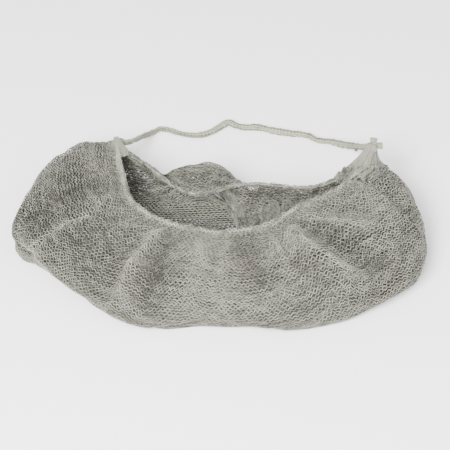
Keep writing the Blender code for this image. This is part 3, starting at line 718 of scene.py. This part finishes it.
def net_ply(names, replaced, inset, slump, samples_per_stitch, widths, sides, side_tones,
            shift_stitch, shade):
    """Rows of one ply, each with as many stitches as its own length holds, as named pieces.

    Distance from the rim = row's distance + half a row gap * wave of the phase, so that the peaks
    of a row meet the flat part of the next and leave a cell between two peaks. The phase follows
    the length along the row, so stitches are equally long near the rim and on the wide sides.
    shade is added to the tone where the slumped fold keeps the light away.
    """
    count = STITCHES * samples_per_stitch
    share = np.arange(count) / count
    place = place_at(share, side_run)
    lengths = section_lengths(place, slump)
    gaps = ROW_HEIGHT * np.clip(0.75 + 0.03 * np.arange(MOST_ROWS), None, 1.0)
    start = BAND_RADIUS * 0.1 + np.cumsum(gaps)
    start = start[start < lengths[:, -1].max()]
    gaps, rows = gaps[:len(start), None], len(start)
    free = np.clip(start[:, None] / 0.015, 0.15, 1.0)

    def uneven(size, row_step, count_step):
        return size * slow_noise(rows, count, row_step, count_step)

    coarse = slice(None, None, samples_per_stitch)
    level_down = down_at(np.repeat(start[:, None], STITCHES, axis=1), lengths[coarse])
    level = slumped_bag(place[None, coarse], level_down, slump)
    run = np.cumsum(np.linalg.norm(np.roll(level, -1, axis=1) - level, axis=-1), axis=1)
    turns = run / run[:, -1:] * np.round(run[:, -1:] / STITCH_LENGTH)
    turns = np.array([np.interp(share, np.arange(STITCHES + 1) / STITCHES, np.append(0.0, row))
                      for row in turns])
    phase = 2 * math.pi * (turns + shift_stitch) + uneven(*PHASE_JITTER)
    wave = stitch_wave(phase + math.pi * np.arange(rows)[:, None])
    drift = uneven(*FINE_DRIFT) + uneven(*BROAD_DRIFT)
    width = yarn_width(place, widths)[None]
    reach = (gaps / 2 - width * YARN_ROOM) * (0.92 + uneven(*REACH_JITTER))
    distance = start[:, None] + wave * reach + drift * free
    down = down_at(distance, lengths)
    sway = (uneven(*FINE_SWAY) + uneven(*BROAD_SWAY)) / MOUTH_WAY
    points, outward = bag_frame(place[None] + sway * free, down)
    loft = 0.00012 * np.cos(2 * phase) + uneven(*LOFT_JITTER)
    inset_here = inset * step_up(down, -0.03, 0.08) if slump is fold_slump else inset
    points = points + slump(place[None], down) + outward * (loft - inset_here)[..., None]
    points[..., 2] = np.maximum(points[..., 2], 1.35 * YARN_HIGH)
    tone = painted_net_shade(place[None], down) + uneven(*FINE_TONE) + uneven(*BROAD_TONE)
    tone = tone + shade * fold_window(place[None], down)
    size = gaps / ROW_HEIGHT * (1.0 + uneven(*SIZE_JITTER))
    keep = distance < lengths[:, -1][None]
    if slump is fold_slump:
        # Painted shade in the two hollows of the fold.
        tone = tone + 0.55 * fold_dents(place[None], down)
        keep &= (fold_window(place[None], down) > 0.05) & (down < 0.47)
    cuts = (0, rows // 4, rows // 2, rows)
    for name, a, b in zip(names, cuts, cuts[1:]):
        shape = sweep(points[a:b] + SHIFT, outward[a:b], (size * width)[a:b], YARN_HIGH * size[a:b],
                      keep[a:b], True, sides, tone[a:b], side_tones)
        mesh_piece(name, shape, net_yarn, replaced)


net_ply(("net_rows_upper", "net_rows_middle", "net_rows_lower"), ["net_pouch"],
        inset=YARN_HIGH, slump=no_slump, samples_per_stitch=5, widths=OUTER_WIDTHS, sides=4,
        side_tones=OPEN_OUTWARD, shift_stitch=0.0, shade=0.0)
net_ply(("net_inner_upper", "net_inner_middle", "net_inner_lower"), ["net_pouch"],
        inset=0.00130, slump=no_slump, samples_per_stitch=4, widths=INNER_WIDTHS, sides=3,
        side_tones=OPEN_INWARD, shift_stitch=0.37, shade=0.20)
net_ply(("net_fold_upper", "net_fold_lower"), (),
        inset=0.00180, slump=fold_slump, samples_per_stitch=5, widths=FOLD_WIDTHS, sides=3,
        side_tones=OPEN_BOTH, shift_stitch=0.71, shade=0.0)

# %% [markdown]
# Under the bag the net simply lies on the table, so there the rows are level and nearly straight.
# They fill the outline of the foot and stop where the side rows come down. The lower ply is
# painted dark all round, as the shade it lies in. The upper ply is painted pale on its top,
# towards the inside of the bag, and both are painted darker in front, as the shade of the front
# wall.

# %% Net under the bag
FLOOR_SAMPLES = 3
FLOOR_ROW_HEIGHT = ROW_HEIGHT * 1.12
foot_line = smooth_bag(np.arange(340) / 340, np.full(340, FOOT_DOWN))[:, :2]


def inside_outline(points, outline):
    """Which points lie inside a closed outline, by counting how often a ray crosses it."""
    x, y = points[..., 0], points[..., 1]
    inside = np.zeros(x.shape, bool)
    for (x1, y1), (x2, y2) in zip(outline, np.roll(outline, -1, axis=0)):
        if y1 != y2:
            inside ^= ((y1 > y) != (y2 > y)) & (x < (x2 - x1) * (y - y1) / (y2 - y1) + x1)
    return inside


def net_floor(name, level, shift_stitch, side_tones, wide):
    """Level rows of waves inside the outline of the foot, slightly curved and uneven."""
    x = np.arange(-HALF_LENGTH, HALF_LENGTH, STITCH_LENGTH / FLOOR_SAMPLES)[None]
    y = np.arange(-HALF_DEPTH, HALF_DEPTH * 1.1, FLOOR_ROW_HEIGHT)[:, None]
    size = (y.size, x.size)
    phase = 2 * math.pi * (x / STITCH_LENGTH + shift_stitch) + 2.0 * slow_noise(*size, 1, 12)
    wave = stitch_wave(phase + math.pi * np.arange(y.size)[:, None])
    rows = np.zeros(size + (3,))
    rows[..., 0] = x + 0.0006 * slow_noise(*size, 3, 30)
    rows[..., 1] = (y + wave * (ROW_HEIGHT / 2 - wide * YARN_ROOM)
                    + 0.0014 * np.sin(x * 45 + shift_stitch) + 0.0004 * slow_noise(*size, 2, 16))
    rows[..., 2] = level + 0.00008 * np.cos(2 * phase)
    keep = inside_outline(rows[..., :2], foot_line)
    # Painted shade: darker in front, where the front wall keeps the light off.
    tone = 0.15 + 0.26 * slow_noise(*size, 1, 3) + 0.35 * step_up(rows[..., 1], 0.034, 0.020)
    shape = sweep(rows + SHIFT, UP, wide, YARN_HIGH, keep, False, 3, tone, side_tones)
    mesh_piece(name, shape, net_yarn, ["net_pouch"])


# The lower ply is painted dark all round as shade; the upper is painted pale on top and darker
# below.
net_floor("net_under_outer", level=0.00034, shift_stitch=0.0, side_tones=(0.85, 0.85, 0.85),
          wide=0.00102)
net_floor("net_under_inner", level=0.00110, shift_stitch=0.4, side_tones=(-0.35, 0.10, 0.10),
          wide=0.00044)

# %% [markdown]
# ## Gathered rim
#
# The rim is net that is gathered over an elastic, so it is not a smooth cord but a soft roll of
# crowded stitches, thinner at the back than in front. A core painted dark, as the shade inside the
# roll, and paler at the left end, carries a honeycomb a little finer than that of the bag. Its
# stitches are painted pale on top and dark on their sides and underside, as painted light and
# shade.

# %% Rim band
RIM_STITCH = 0.0022
RIM_ROWS = 7
CORE_RINGS, CORE_SIDES, CORE_SIZE = 600, 8, 0.86


def on_rim(share):
    """Place round the mouth and point on the rim at a share of the rim's length."""
    place = place_at(share, rim_run)
    return place, read_round(rim_rows, place) + SHIFT


def away_from(place, end):
    """Way round the mouth between a place and one of its ends, as a share of the whole."""
    return np.abs((place - end + 0.5) % 1.0 - 0.5)


def near_left_end(place):
    """1 on the smooth pale stretch of rim at the left end, falling to 0 along the front."""
    return 1.0 - step_up(place, 0.03, 0.13)


def rim_radius(along, turn):
    """Radius of the roll: thin at the back and inside the cinched ends, puckered all over."""
    place = place_at(along / rim_run[-1], rim_run)
    open_left = 0.65 + 0.35 * step_up(away_from(place, LEFT_END) * SECTION_COUNT, 0.8, 2.2)
    open_right = 0.45 + 0.55 * step_up(away_from(place, RIGHT_END) * SECTION_COUNT, 1.6, 3.4)
    back = between(place, 0.60, 0.68, 0.90, 0.97)
    puckers = (0.14 * np.sin(along / 0.0043 * 2 * math.pi + 1.2 * np.sin(turn))
               + 0.13 * np.sin(along / 0.0071 * 2 * math.pi + turn)
               + 0.12 * np.sin(along / 0.0192 * 2 * math.pi - turn)
               + 0.08 * np.sin(along / 0.0027 * 2 * math.pi + 2 * turn))
    size = 1.0 - 0.42 * back + puckers * (1 - 0.5 * back)
    return BAND_RADIUS * size * np.minimum(open_left, open_right)


def ring_faces(count, sides, closed):
    """Corners of the quads between the rings of a tube, one row of quads for each ring."""
    i, k = np.arange(count if closed else count - 1)[:, None], np.arange(sides)[None]
    there, n = (i + 1) % count, (k + 1) % sides
    return np.stack([i * sides + k, there * sides + k, there * sides + n, i * sides + n], -1)


def tube_grid(line, radius, closed, tone, up=UP):
    """Tube whose radius is given for every ring and side: points, faces, UVs and tones."""
    count, sides = radius.shape
    turns = full_turn(sides)
    across, lift = frames_of(line, closed, up)
    ring = (line[:, None] + (np.cos(turns)[None, :, None] * across[:, None]
                             + np.sin(turns)[None, :, None] * lift[:, None]) * radius[..., None])
    faces = ring_faces(count, sides, closed).reshape(-1, 4).tolist()
    if not closed:
        faces += [list(range(sides)), [count * sides - 1 - j for j in range(sides)]]
    round_part = np.arange(sides) / sides
    uv = np.stack(np.broadcast_arrays(running_length(line)[:, None], round_part[None]), -1)
    tones = np.broadcast_to(tone, radius.shape).reshape(-1)
    return ring.reshape(-1, 3), faces, uv.reshape(-1, 2), tones


core_share = np.arange(CORE_RINGS) / CORE_RINGS
core_place, core_line = on_rim(core_share)
core_radius = rim_radius(core_share[:, None] * rim_run[-1], full_turn(CORE_SIDES)[None]) * CORE_SIZE
# The core is painted dark, as the shade inside the roll of stitches, and paler at the left end.
core_painted_shade = 0.85 - 0.50 * near_left_end(core_place)[:, None]
mesh_piece("rim_core", tube_grid(core_line, core_radius, True, core_painted_shade), rim_yarn,
           ["rim_band"])

rim_stitches = int(rim_run[-1] / RIM_STITCH)
wrap_size = (RIM_ROWS, rim_stitches * 4)
wrap_share = np.arange(wrap_size[1]) / wrap_size[1]
wrap_place, wrap_line = on_rim(wrap_share)
wrap_across, wrap_up = frames_of(wrap_line, True)
wrap_phase = (2 * math.pi * wrap_share[None] * rim_stitches
              + math.pi * np.arange(RIM_ROWS)[:, None])
wrap_turn = (full_turn(RIM_ROWS)[:, None] + 0.42 * np.sin(wrap_phase)
             + 0.30 * slow_noise(*wrap_size, 1, 14))
wrap_out = np.cos(wrap_turn)[..., None] * wrap_across + np.sin(wrap_turn)[..., None] * wrap_up
wrap_radius = (rim_radius(wrap_share[None] * rim_run[-1], wrap_turn)
               + 0.00050 * slow_noise(*wrap_size, 1, 4))
wrap_points = wrap_line + wrap_out * wrap_radius[..., None]
wrap_back = between(wrap_place, 0.60, 0.68, 0.88, 0.97)
wrap_left = near_left_end(wrap_place)
wrap_tone = (0.38 - 0.48 * wrap_left + 0.04 * wrap_back
             + (0.52 - 0.36 * wrap_left) * slow_noise(*wrap_size, 1, 5))
# Each stitch is painted pale on top and dark on its sides and underside, as painted light and
# shade.
wrap = sweep(wrap_points, wrap_out, wide=0.00027, high=0.00022, closed=True, tone=wrap_tone,
             side_tones=(0.55, -0.1, 0.55, 0.9))
mesh_piece("rim_stitches", wrap, rim_yarn, ["rim_band"])

# %% [markdown]
# Just below the rim the gathered net is pulled into short strands that run straight away from
# the elastic, longer towards both ends of the mouth, where most of the net comes together.

# %% Pulled strands
STRAND_GAP = 0.0020
STRAND_FLATNESS = 0.8


def strand_length(place):
    """Length of the strand at a place: a few millimetres, and more near the ends of the mouth."""
    return (0.0034 + 0.010 * np.exp(-(away_from(place, LEFT_END) / 0.035)**2)
            + 0.016 * np.exp(-(away_from(place, RIGHT_END) / 0.045)**2))


strand_count = int(rim_run[-1] / STRAND_GAP)
strand_share = (np.arange(strand_count) + 0.35 * random.uniform(-1, 1, strand_count)) / strand_count
strand_place = place_at(strand_share % 1.0, rim_run)
strand_reach = strand_length(strand_place) * random.uniform(0.5, 1.15, strand_count)
strand_part = np.linspace(0.0, 1.0, 9)[None]
rim_slope = np.linalg.norm(smooth_bag(strand_place, np.full(strand_count, 0.08))
                           - smooth_bag(strand_place, np.zeros(strand_count)), axis=1) / 0.08
strand_down = (BAND_RADIUS * 0.6 + strand_part * strand_reach[:, None]) / rim_slope[:, None]
strand_sway = 0.0014 * random.uniform(-1, 1, (strand_count, 1)) * strand_part**1.5
strand_points, strand_out = bag_frame(strand_place[:, None] + strand_sway, strand_down)
strand_points = strand_points + strand_out * 0.00015 + SHIFT
strand_width = 0.00024 * (1.0 - 0.5 * strand_part)
# Each strand is painted darker on its sides and underside, as shade.
strands = sweep(strand_points, strand_out, strand_width, strand_width * STRAND_FLATNESS, tone=0.04,
                side_tones=(0.2, 0.0, 0.2, 0.6))
mesh_piece("rim_strands", strands, net_yarn)

# %% [markdown]
# ## Cinched ends of the mouth
#
# At both ends the two sides of the rim meet, and the net is drawn up round them to the knot.
# There it is so dense that no cells show: a pleated cone of cloth closes the last two or three
# centimetres of the mouth. It is a thin closed wall between two rings, one round the knot and one
# on the bag. Each of its lines leaves the knot straight and bends outwards to land on the net.

# %% Cinched ends
CONE_COLUMNS, CONE_LEVELS = 144, 24
ARC_PART, BRIDGE_PART = 0.74, 0.26
ARMS_DOWN = 0.012
ARC_STRAND_POINTS, BEYOND_POINTS = 10, 8


def gathered_cone(name, knot, tip, reach, depth, taper, top_radius, sink, pleats):
    """Pleated wall from a ring round the knot to a landing line on the bag.

    Landing line: an arc over the net below the end of the mouth, and a short bridge across the
    mouth. A line of the cone is a cubic from ring to landing with given directions at both ends.
    A small taper gives the arc a pointed middle and long flat arms along the rim.
    """
    columns, levels = CONE_COLUMNS, CONE_LEVELS
    u = np.arange(columns) / columns
    arc = np.clip(u / ARC_PART, 0.0, 1.0) * 2 - 1
    place = tip + arc * reach
    down = ARMS_DOWN + depth * (1 - np.abs(arc)**taper)
    landing, outward = bag_frame(place, down)
    bridge = np.clip((u - ARC_PART) / BRIDGE_PART, 0.0, 1.0)[:, None]
    first, last = landing[0], bag_frame(np.array([tip + reach]), np.array([ARMS_DOWN]))[0][0]
    across_mouth = last + (first - last) * bridge
    lift = UP * (0.0010 - 0.0020 * np.sin(np.pi * bridge))
    on_bridge = u[:, None] > ARC_PART
    over_band = 0.0003 + 0.0008 * (np.abs(arc)**6)[:, None]
    landing = np.where(on_bridge, across_mouth + lift, landing + outward * over_band) + SHIFT
    outward = np.where(on_bridge, UP, outward)
    middle = landing.mean(axis=0)
    axis = unit(knot - middle)
    flat_x = unit(np.cross(axis, UP))
    flat_y = np.cross(axis, flat_x)
    offset = landing - middle
    angle = np.arctan2(offset @ flat_y, offset @ flat_x)
    ring_way = np.cos(angle)[:, None] * flat_x + np.sin(angle)[:, None] * flat_y
    top = knot - axis * sink + ring_way * top_radius
    run = landing - top
    length = np.linalg.norm(run, axis=1)[:, None]
    leave = -axis * length * 1.2
    arrive = unit(run - outward * (run * outward).sum(axis=1)[:, None]) * length * 1.1
    t = np.linspace(0.0, 1.0, levels)[:, None, None]
    wall = bent_arc(t, top, leave, landing, arrive)
    swell = (0.00012 * np.cos(2 * math.pi * pleats * u + 3 * np.sin(11 * u))
             + 0.00010 * np.cos(2 * math.pi * round(pleats * 0.6) * u + 2 * np.sin(17 * u)))
    swell = swell[None, :, None]
    outer = wall + ring_way * (swell * (0.6 + np.sin(np.pi * t)) + 0.0006 * np.sin(np.pi * t))
    inner = wall - ring_way * 0.0005
    points = np.concatenate([outer, inner[::-1]]).reshape(-1, 3)
    count = 2 * levels
    quads = ring_faces(count, columns, True)
    if ((np.roll(angle, -1) - angle + np.pi) % (2 * np.pi) - np.pi).sum() > 0:
        quads = quads[..., ::-1]
    i = np.arange(count)[:, None]
    uv = np.stack(np.broadcast_arrays(u[None] * 0.06, i / count), -1).reshape(-1, 2)
    low = np.minimum(i, count - 1 - i) / (levels - 1)
    holes = np.clip(slow_noise(count, columns, 1, 1), 0.0, None) * step_up(low, 0.25, 0.85)
    # Painted light and shade: pleat crests paler, pleat troughs darker, and dark spots low on the
    # cone for holes in the net, painted as the shade seen through them. The wall also darkens from
    # knot to bag.
    tone = (np.interp(low, (0.0, 0.5, 1.0), (0.14, 0.22, 0.26)) - 800 * swell[..., 0]
            + 0.16 * slow_noise(count, columns, 2, 3) + min(1.4, depth * 6) * holes)
    shape = (points, quads.reshape(-1, 4).tolist(), uv, tone.reshape(-1))
    mesh_piece(name, shape, net_yarn)

    fan = np.flatnonzero(u < ARC_PART)[::4]
    t = np.linspace(0.15, 1.0, ARC_STRAND_POINTS)[:, None, None]
    lines = bent_arc(t, top[fan], leave[fan], landing[fan], arrive[fan]).transpose(1, 0, 2)
    lines = lines + ring_way[fan][:, None] * 0.00045
    beyond = np.linspace(0.1, 1.0, BEYOND_POINTS) * random.uniform(0.03, 0.10, (len(fan), 1))
    more, more_out = bag_frame(place[fan][:, None] + 0.010 * arc[fan][:, None] * beyond / 0.1,
                               down[fan][:, None] + beyond)
    lines = np.concatenate([lines, more + SHIFT + more_out * 0.00020], axis=1)
    up = np.concatenate([np.repeat(ring_way[fan][:, None], ARC_STRAND_POINTS, axis=1), more_out],
                        axis=1)
    thin = 0.00020 * np.append(np.ones(ARC_STRAND_POINTS), np.linspace(1.0, 0.45, BEYOND_POINTS))
    strand_tone = 0.22 + 0.15 * random.uniform(-1, 1, (len(fan), 1))
    # Each strand is painted darker on its sides and underside, as shade.
    shape = sweep(lines, up, thin, thin * STRAND_FLATNESS, tone=strand_tone,
                  side_tones=(0.3, 0.0, 0.3, 0.6))
    mesh_piece(name + "_strands", shape, net_yarn)


left_knot = np.array(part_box("knot_left")).mean(axis=0)
right_knot = np.array(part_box("knot_right")).mean(axis=0)
gathered_cone("cinch_right", right_knot, RIGHT_END, reach=0.108, depth=0.27, taper=1.3,
              top_radius=0.0033, sink=0.0008, pleats=25)
gathered_cone("cinch_left", left_knot, LEFT_END, reach=0.055, depth=0.06, taper=2.2,
              top_radius=0.0021, sink=0.0006, pleats=17)

# %% [markdown]
# ## Head loop
#
# The loop is a soft knitted elastic, about 4 mm wide. It was stretched and let go, so it lies in
# small waves, and it turns over here and there, which makes it look wider and narrower. Its
# route is the one in the CAD source: out of the left knot, down to the table, along it, and up
# to the right knot. Knitted ribs run along it, with small stitch holes between them.

# %% Head loop
LOOP_THICKNESS = 0.0040
LOOP_LOWEST = LOOP_THICKNESS / 2 + 0.0001
CAD_LOOP_STEPS, LOOP_RINGS, LOOP_SIDES = 46, 760, 24
LEFT_KNOT_SIZE, RIGHT_KNOT_SIZE = 0.0038, 0.0052
LOOP_ROUTE = np.array([
    (-0.0556, 0.0658, 0.0274), (-0.0507, 0.0735, 0.0222), (-0.0472, 0.0856, 0.0137),
    (-0.0422, 0.0989, 0.0045), (-0.0351, 0.1060, 0.0020), (-0.0283, 0.1033, 0.0020),
    (-0.0214, 0.1008, 0.0020), (-0.0141, 0.0999, 0.0020), (-0.0073, 0.1016, 0.0020),
    (0.0001, 0.1069, 0.0020), (0.0050, 0.1116, 0.0020), (0.0093, 0.1093, 0.0020),
    (0.0152, 0.1069, 0.0020), (0.0235, 0.1073, 0.0020), (0.0327, 0.1042, 0.0020),
    (0.0443, 0.1016, 0.0020), (0.0541, 0.0999, 0.0020), (0.0595, 0.0957, 0.0020),
    (0.0679, 0.0920, 0.0040), (0.0763, 0.0813, 0.0112), (0.0812, 0.0705, 0.0202),
    (0.0862, 0.0583, 0.0308),
]) + SHIFT
LOOP_ROUTE[:, 2] = np.maximum(LOOP_ROUTE[:, 2], LOOP_LOWEST)
knot_gap = LOOP_THICKNESS / 2 * 0.35 + 0.0003
loop_start = left_knot + unit(LOOP_ROUTE[0] - left_knot) * (LEFT_KNOT_SIZE / 2 + knot_gap)
loop_end = right_knot + unit(LOOP_ROUTE[-1] - right_knot) * (RIGHT_KNOT_SIZE / 2 + knot_gap)


def even_spline(points, steps):
    """Evenly spaced points on a cubic spline through given points."""
    ends = np.vstack([2 * points[0] - points[1], points, 2 * points[-1] - points[-2]])
    part = np.linspace(0.0, 1.0, 12, endpoint=False)[:, None]
    arcs = [spline_arc(part, *four) for four in zip(ends, ends[1:], ends[2:], ends[3:])]
    fine = np.vstack(arcs + [points[-1:]])
    run = running_length(fine)
    wanted = np.linspace(0.0, run[-1], steps)
    return np.stack([np.interp(wanted, run, fine[:, k]) for k in range(3)], -1)


coarse_loop = even_spline(np.vstack([loop_start, LOOP_ROUTE, loop_end]), CAD_LOOP_STEPS)
coarse_loop[1:-1, 2] = np.maximum(coarse_loop[1:-1, 2], LOOP_LOWEST)
loop_line = even_spline(coarse_loop, LOOP_RINGS)
loop_along = running_length(loop_line)

along, turn = loop_along[:, None], full_turn(LOOP_SIDES)[None]
twist = 0.4 * np.sin(along / 0.031) + 0.6 * np.sin(along / 0.058 + 1.0) - 0.6
oval = 1.0 / np.sqrt(np.cos(turn - twist)**2 + (np.sin(turn - twist) / 0.72)**2)
rib = np.cos(6 * (turn - twist))
ribs = 0.07 * rib * (0.7 + 0.3 * np.cos(along / 0.0022 * 2 * math.pi))
pinch = (0.06 * np.sin(along / 0.0031) + 0.07 * np.sin(along / 0.0074 + 2)
         + 0.04 * np.sin(along / 0.0013))
stitch = (0.5 + 0.5 * np.cos(along / 0.0021 * 2 * math.pi)) * (0.5 - 0.5 * rib)
holes = np.clip(stitch - 0.35, 0.0, None) / 0.65
nub = 0.0013 * np.exp(-((along - 0.205) / 0.0011)**2) * np.clip(np.cos(turn + 1.2), 0, None)**2
lumps = 0.00030 * slow_noise(LOOP_RINGS, LOOP_SIDES, 5, 4)
loop_radius = (LOOP_THICKNESS / 2 * (0.97 * oval + ribs + pinch * 0.8)
               - 0.00030 * holes + nub + lumps)
# Painted shade: the ribbon is darker towards both edges of its oval, in its stitch holes and in the
# grooves between its ribs; rib crests are painted paler.
painted_edge_shade = np.abs(np.cos(turn - twist))**4
loop_tone = (0.06 + 0.75 * holes - 0.14 * rib + 0.45 * painted_edge_shade
             + 0.16 * slow_noise(LOOP_RINGS, LOOP_SIDES, 4, 3))
head_cord = mesh_piece("head_cord", tube_grid(loop_line, loop_radius, False, loop_tone),
                       loop_yarn, ["head_loop"])

# %% [markdown]
# ## Knots
#
# The ends of the elastic are tied in plain overhand knots. An overhand knot pulled tight is a
# trefoil, a closed curve with three lobes that passes over and under itself, so a thick tube
# along a small trefoil looks like a real knot from every side.

# %% Knots
KNOT_RINGS, KNOT_SIDES = 120, 12
KNOT_GROWTH = 1.08


def tied_knot(name, node, centre, size, tube, tilt):
    """Ribbed tube along a trefoil that is tilted about x.

    x = sin t + 2 sin 2t, y = cos t - 2 cos 2t, z = -1.3 sin 3t
    """
    t = full_turn(KNOT_RINGS)
    line = np.stack([np.sin(t) + 2 * np.sin(2 * t), np.cos(t) - 2 * np.cos(2 * t),
                     -1.3 * np.sin(3 * t)], -1)
    c, s = math.cos(tilt), math.sin(tilt)
    line = centre + (line / 3.0 * (size / 2 - tube)) @ np.array([[1, 0, 0], [0, c, s], [0, -s, c]])
    ribs = np.cos(6 * full_turn(KNOT_SIDES))
    radius = np.broadcast_to(tube * (1.0 + 0.05 * ribs), (KNOT_RINGS, KNOT_SIDES))
    # Painted light and shade: the crests of the ribs are paler and the grooves darker.
    shape = tube_grid(line, radius, True, 0.12 - 0.1 * ribs, unit(line - centre))
    mesh_piece(name, shape, loop_yarn, [node])


tied_knot("knot_left_tied", "knot_left", left_knot, LEFT_KNOT_SIZE * KNOT_GROWTH,
          tube=0.00105, tilt=0.6)
tied_knot("knot_right_tied", "knot_right", right_knot, RIGHT_KNOT_SIZE * KNOT_GROWTH,
          tube=0.00145, tilt=1.1)

# %% [markdown]
# Two cut tails stand out of the right knot. The elastic is flat there and frays where it was
# cut, so each tail is a short flattened tube with a bundle of fine filaments at its end.

# %% Cut tails
TAIL_THICKNESS = 0.0026
TAIL_INSIDE_KNOT = 0.0009
TAIL_RINGS, TAIL_SIDES, FILAMENTS = 22, 16, 30
SPIRAL_STEP = 2.4


def cut_tail(name, node, direction, length):
    """Flat tube that widens away from the knot, with a bundle of loose filaments at its end."""
    direction = unit(direction)
    part = np.linspace(0.0, 1.0, TAIL_RINGS)
    line = right_knot + np.outer(RIGHT_KNOT_SIZE / 2 - TAIL_INSIDE_KNOT
                                 + part * (length + TAIL_INSIDE_KNOT), direction)
    turns = full_turn(TAIL_SIDES)
    half = (1.25 + 0.60 * part) * TAIL_THICKNESS / 2 * (1 + 0.05 * np.sin(part * 25))
    flat = 0.75 / np.sqrt((0.75 * np.cos(turns))**2 + np.sin(turns)**2)
    body = tube_grid(line, half[:, None] * flat[None], False, 0.12)
    across, lift = (vectors[-1] for vectors in frames_of(line, False))
    number = np.arange(FILAMENTS)
    spread, angle = np.sqrt(number / FILAMENTS) * 0.9, number * SPIRAL_STEP
    outwards = np.cos(angle)[:, None] * across + 0.6 * np.sin(angle)[:, None] * lift
    root = line[-1] + half[-1] * spread[:, None] * outwards
    way = unit(direction + 0.45 * spread[:, None] * outwards)
    step = np.linspace(-0.0004, 0.0005, 5) * random.uniform(0.5, 1.0, (FILAMENTS, 1))
    fibre = root[:, None] + way[:, None] * step[..., None]
    ends = sweep(fibre, lift, wide=0.00012, high=0.00010, tone=0.05)
    faces = body[1] + [[v + len(body[0]) for v in face] for face in ends[1]]
    shape = (np.vstack([body[0], ends[0]]), faces, np.vstack([body[2], ends[2]]),
             np.concatenate([body[3], ends[3]]))
    mesh_piece(name, shape, loop_yarn, [node])


cut_tail("tail_upper_cut", "cord_tail_upper", direction=(0.10, 0.56, 0.82), length=0.0014)
cut_tail("tail_lower_cut", "cord_tail_lower", direction=(0.96, 0.14, -0.24), length=0.0028)

# %% [markdown]
# ## Frill on the back rim
#
# Beside the right knot a little spare net stands up out of the seam as a frill. It is a few rows
# of small yarn loops of uneven height, over the place of the CAD ridge.

# %% Frill
FRILL_ROWS, FRILL_POINTS, FRILL_LENGTH = 7, 170, 0.0150
TUFT_SECTION = 21.35
tuft_run = np.interp(TUFT_SECTION / SECTION_COUNT, np.append(round_places, 1.0), rim_run)
part = np.linspace(-0.5, 0.5, FRILL_POINTS)
number = np.arange(FRILL_ROWS)[:, None]
frill_base = on_rim((tuft_run + part * FRILL_LENGTH) / rim_run[-1])[1]
frill_across = frames_of(frill_base, False)[0]
frill_wave = 0.5 - 0.5 * np.cos(2 * math.pi * (8 + number % 3) * part + number * 1.1)
frill_height = ((0.0014 + 0.0034 * np.abs(np.cos(3 * math.pi * part)))
                * np.cos(math.pi * part * 0.85))
frill_line = (frill_base
              + UP * (BAND_RADIUS * 0.8 + frill_height * frill_wave)[..., None]
              + frill_across * (0.0010 * np.sin(number * 2.0 + part * 30))[..., None])
frill_tone = 0.48 + 0.35 * slow_noise(FRILL_ROWS, FRILL_POINTS, 1, 5)
# Each loop of yarn is painted darker on its sides, as shade.
frill = sweep(frill_line, frill_across, YARN_WIDE, YARN_HIGH, tone=frill_tone,
              side_tones=(0.4, 0.0, 0.4, 0.0))
mesh_piece("seam_frill", frill, rim_yarn, ["seam_tuft"])

# %% [markdown]
# ## Table and light
#
# A plain pale table and soft studio light keep the attention on the yarn. One lamp hangs in
# front, above and a little to the left, a large weak one fills from the right, and the sky is an
# even white.

# %% Table and light
def make_table():
    """Flat square of table, four metres on a side."""
    mesh = bpy.data.meshes.new("table_top")
    half = 2.0
    mesh.from_pydata([(-half, -half, 0), (half, -half, 0), (half, half, 0), (-half, half, 0)], [],
                     [(0, 1, 2, 3)])
    material = bpy.data.materials.new("pale_table")
    material.use_nodes = True
    tree = material.node_tree
    feed(tree, tree.nodes["Principled BSDF"].inputs, Base_Color=(0.93, 0.93, 0.93, 1),
         Roughness=0.9)
    mesh.materials.append(material)
    table_top = bpy.data.objects.new("table_top", mesh)
    bpy.context.scene.collection.objects.link(table_top)


def make_lamp(name, place, size, power):
    """Square lamp that looks at the middle of the bag."""
    data = bpy.data.lights.new(name, "AREA")
    data.size = size
    data.energy = power
    lamp = bpy.data.objects.new(name, data)
    lamp.location = place
    lamp.rotation_euler = (LOOK_AT - Vector(place)).to_track_quat("-Z", "Y").to_euler()
    bpy.context.scene.collection.objects.link(lamp)


make_table()
make_lamp("key_lamp", (-0.28, -0.80, 0.88), size=0.45, power=56.0)
make_lamp("fill_lamp", (0.75, -0.60, 0.70), size=0.9, power=9.0)
world = bpy.data.worlds.new("studio")
world.use_nodes = True
sky = world.node_tree.nodes["Background"].inputs
feed(world.node_tree, sky, Color=(1.0, 1.0, 1.0, 1), Strength=1.25)
bpy.context.scene.world = world
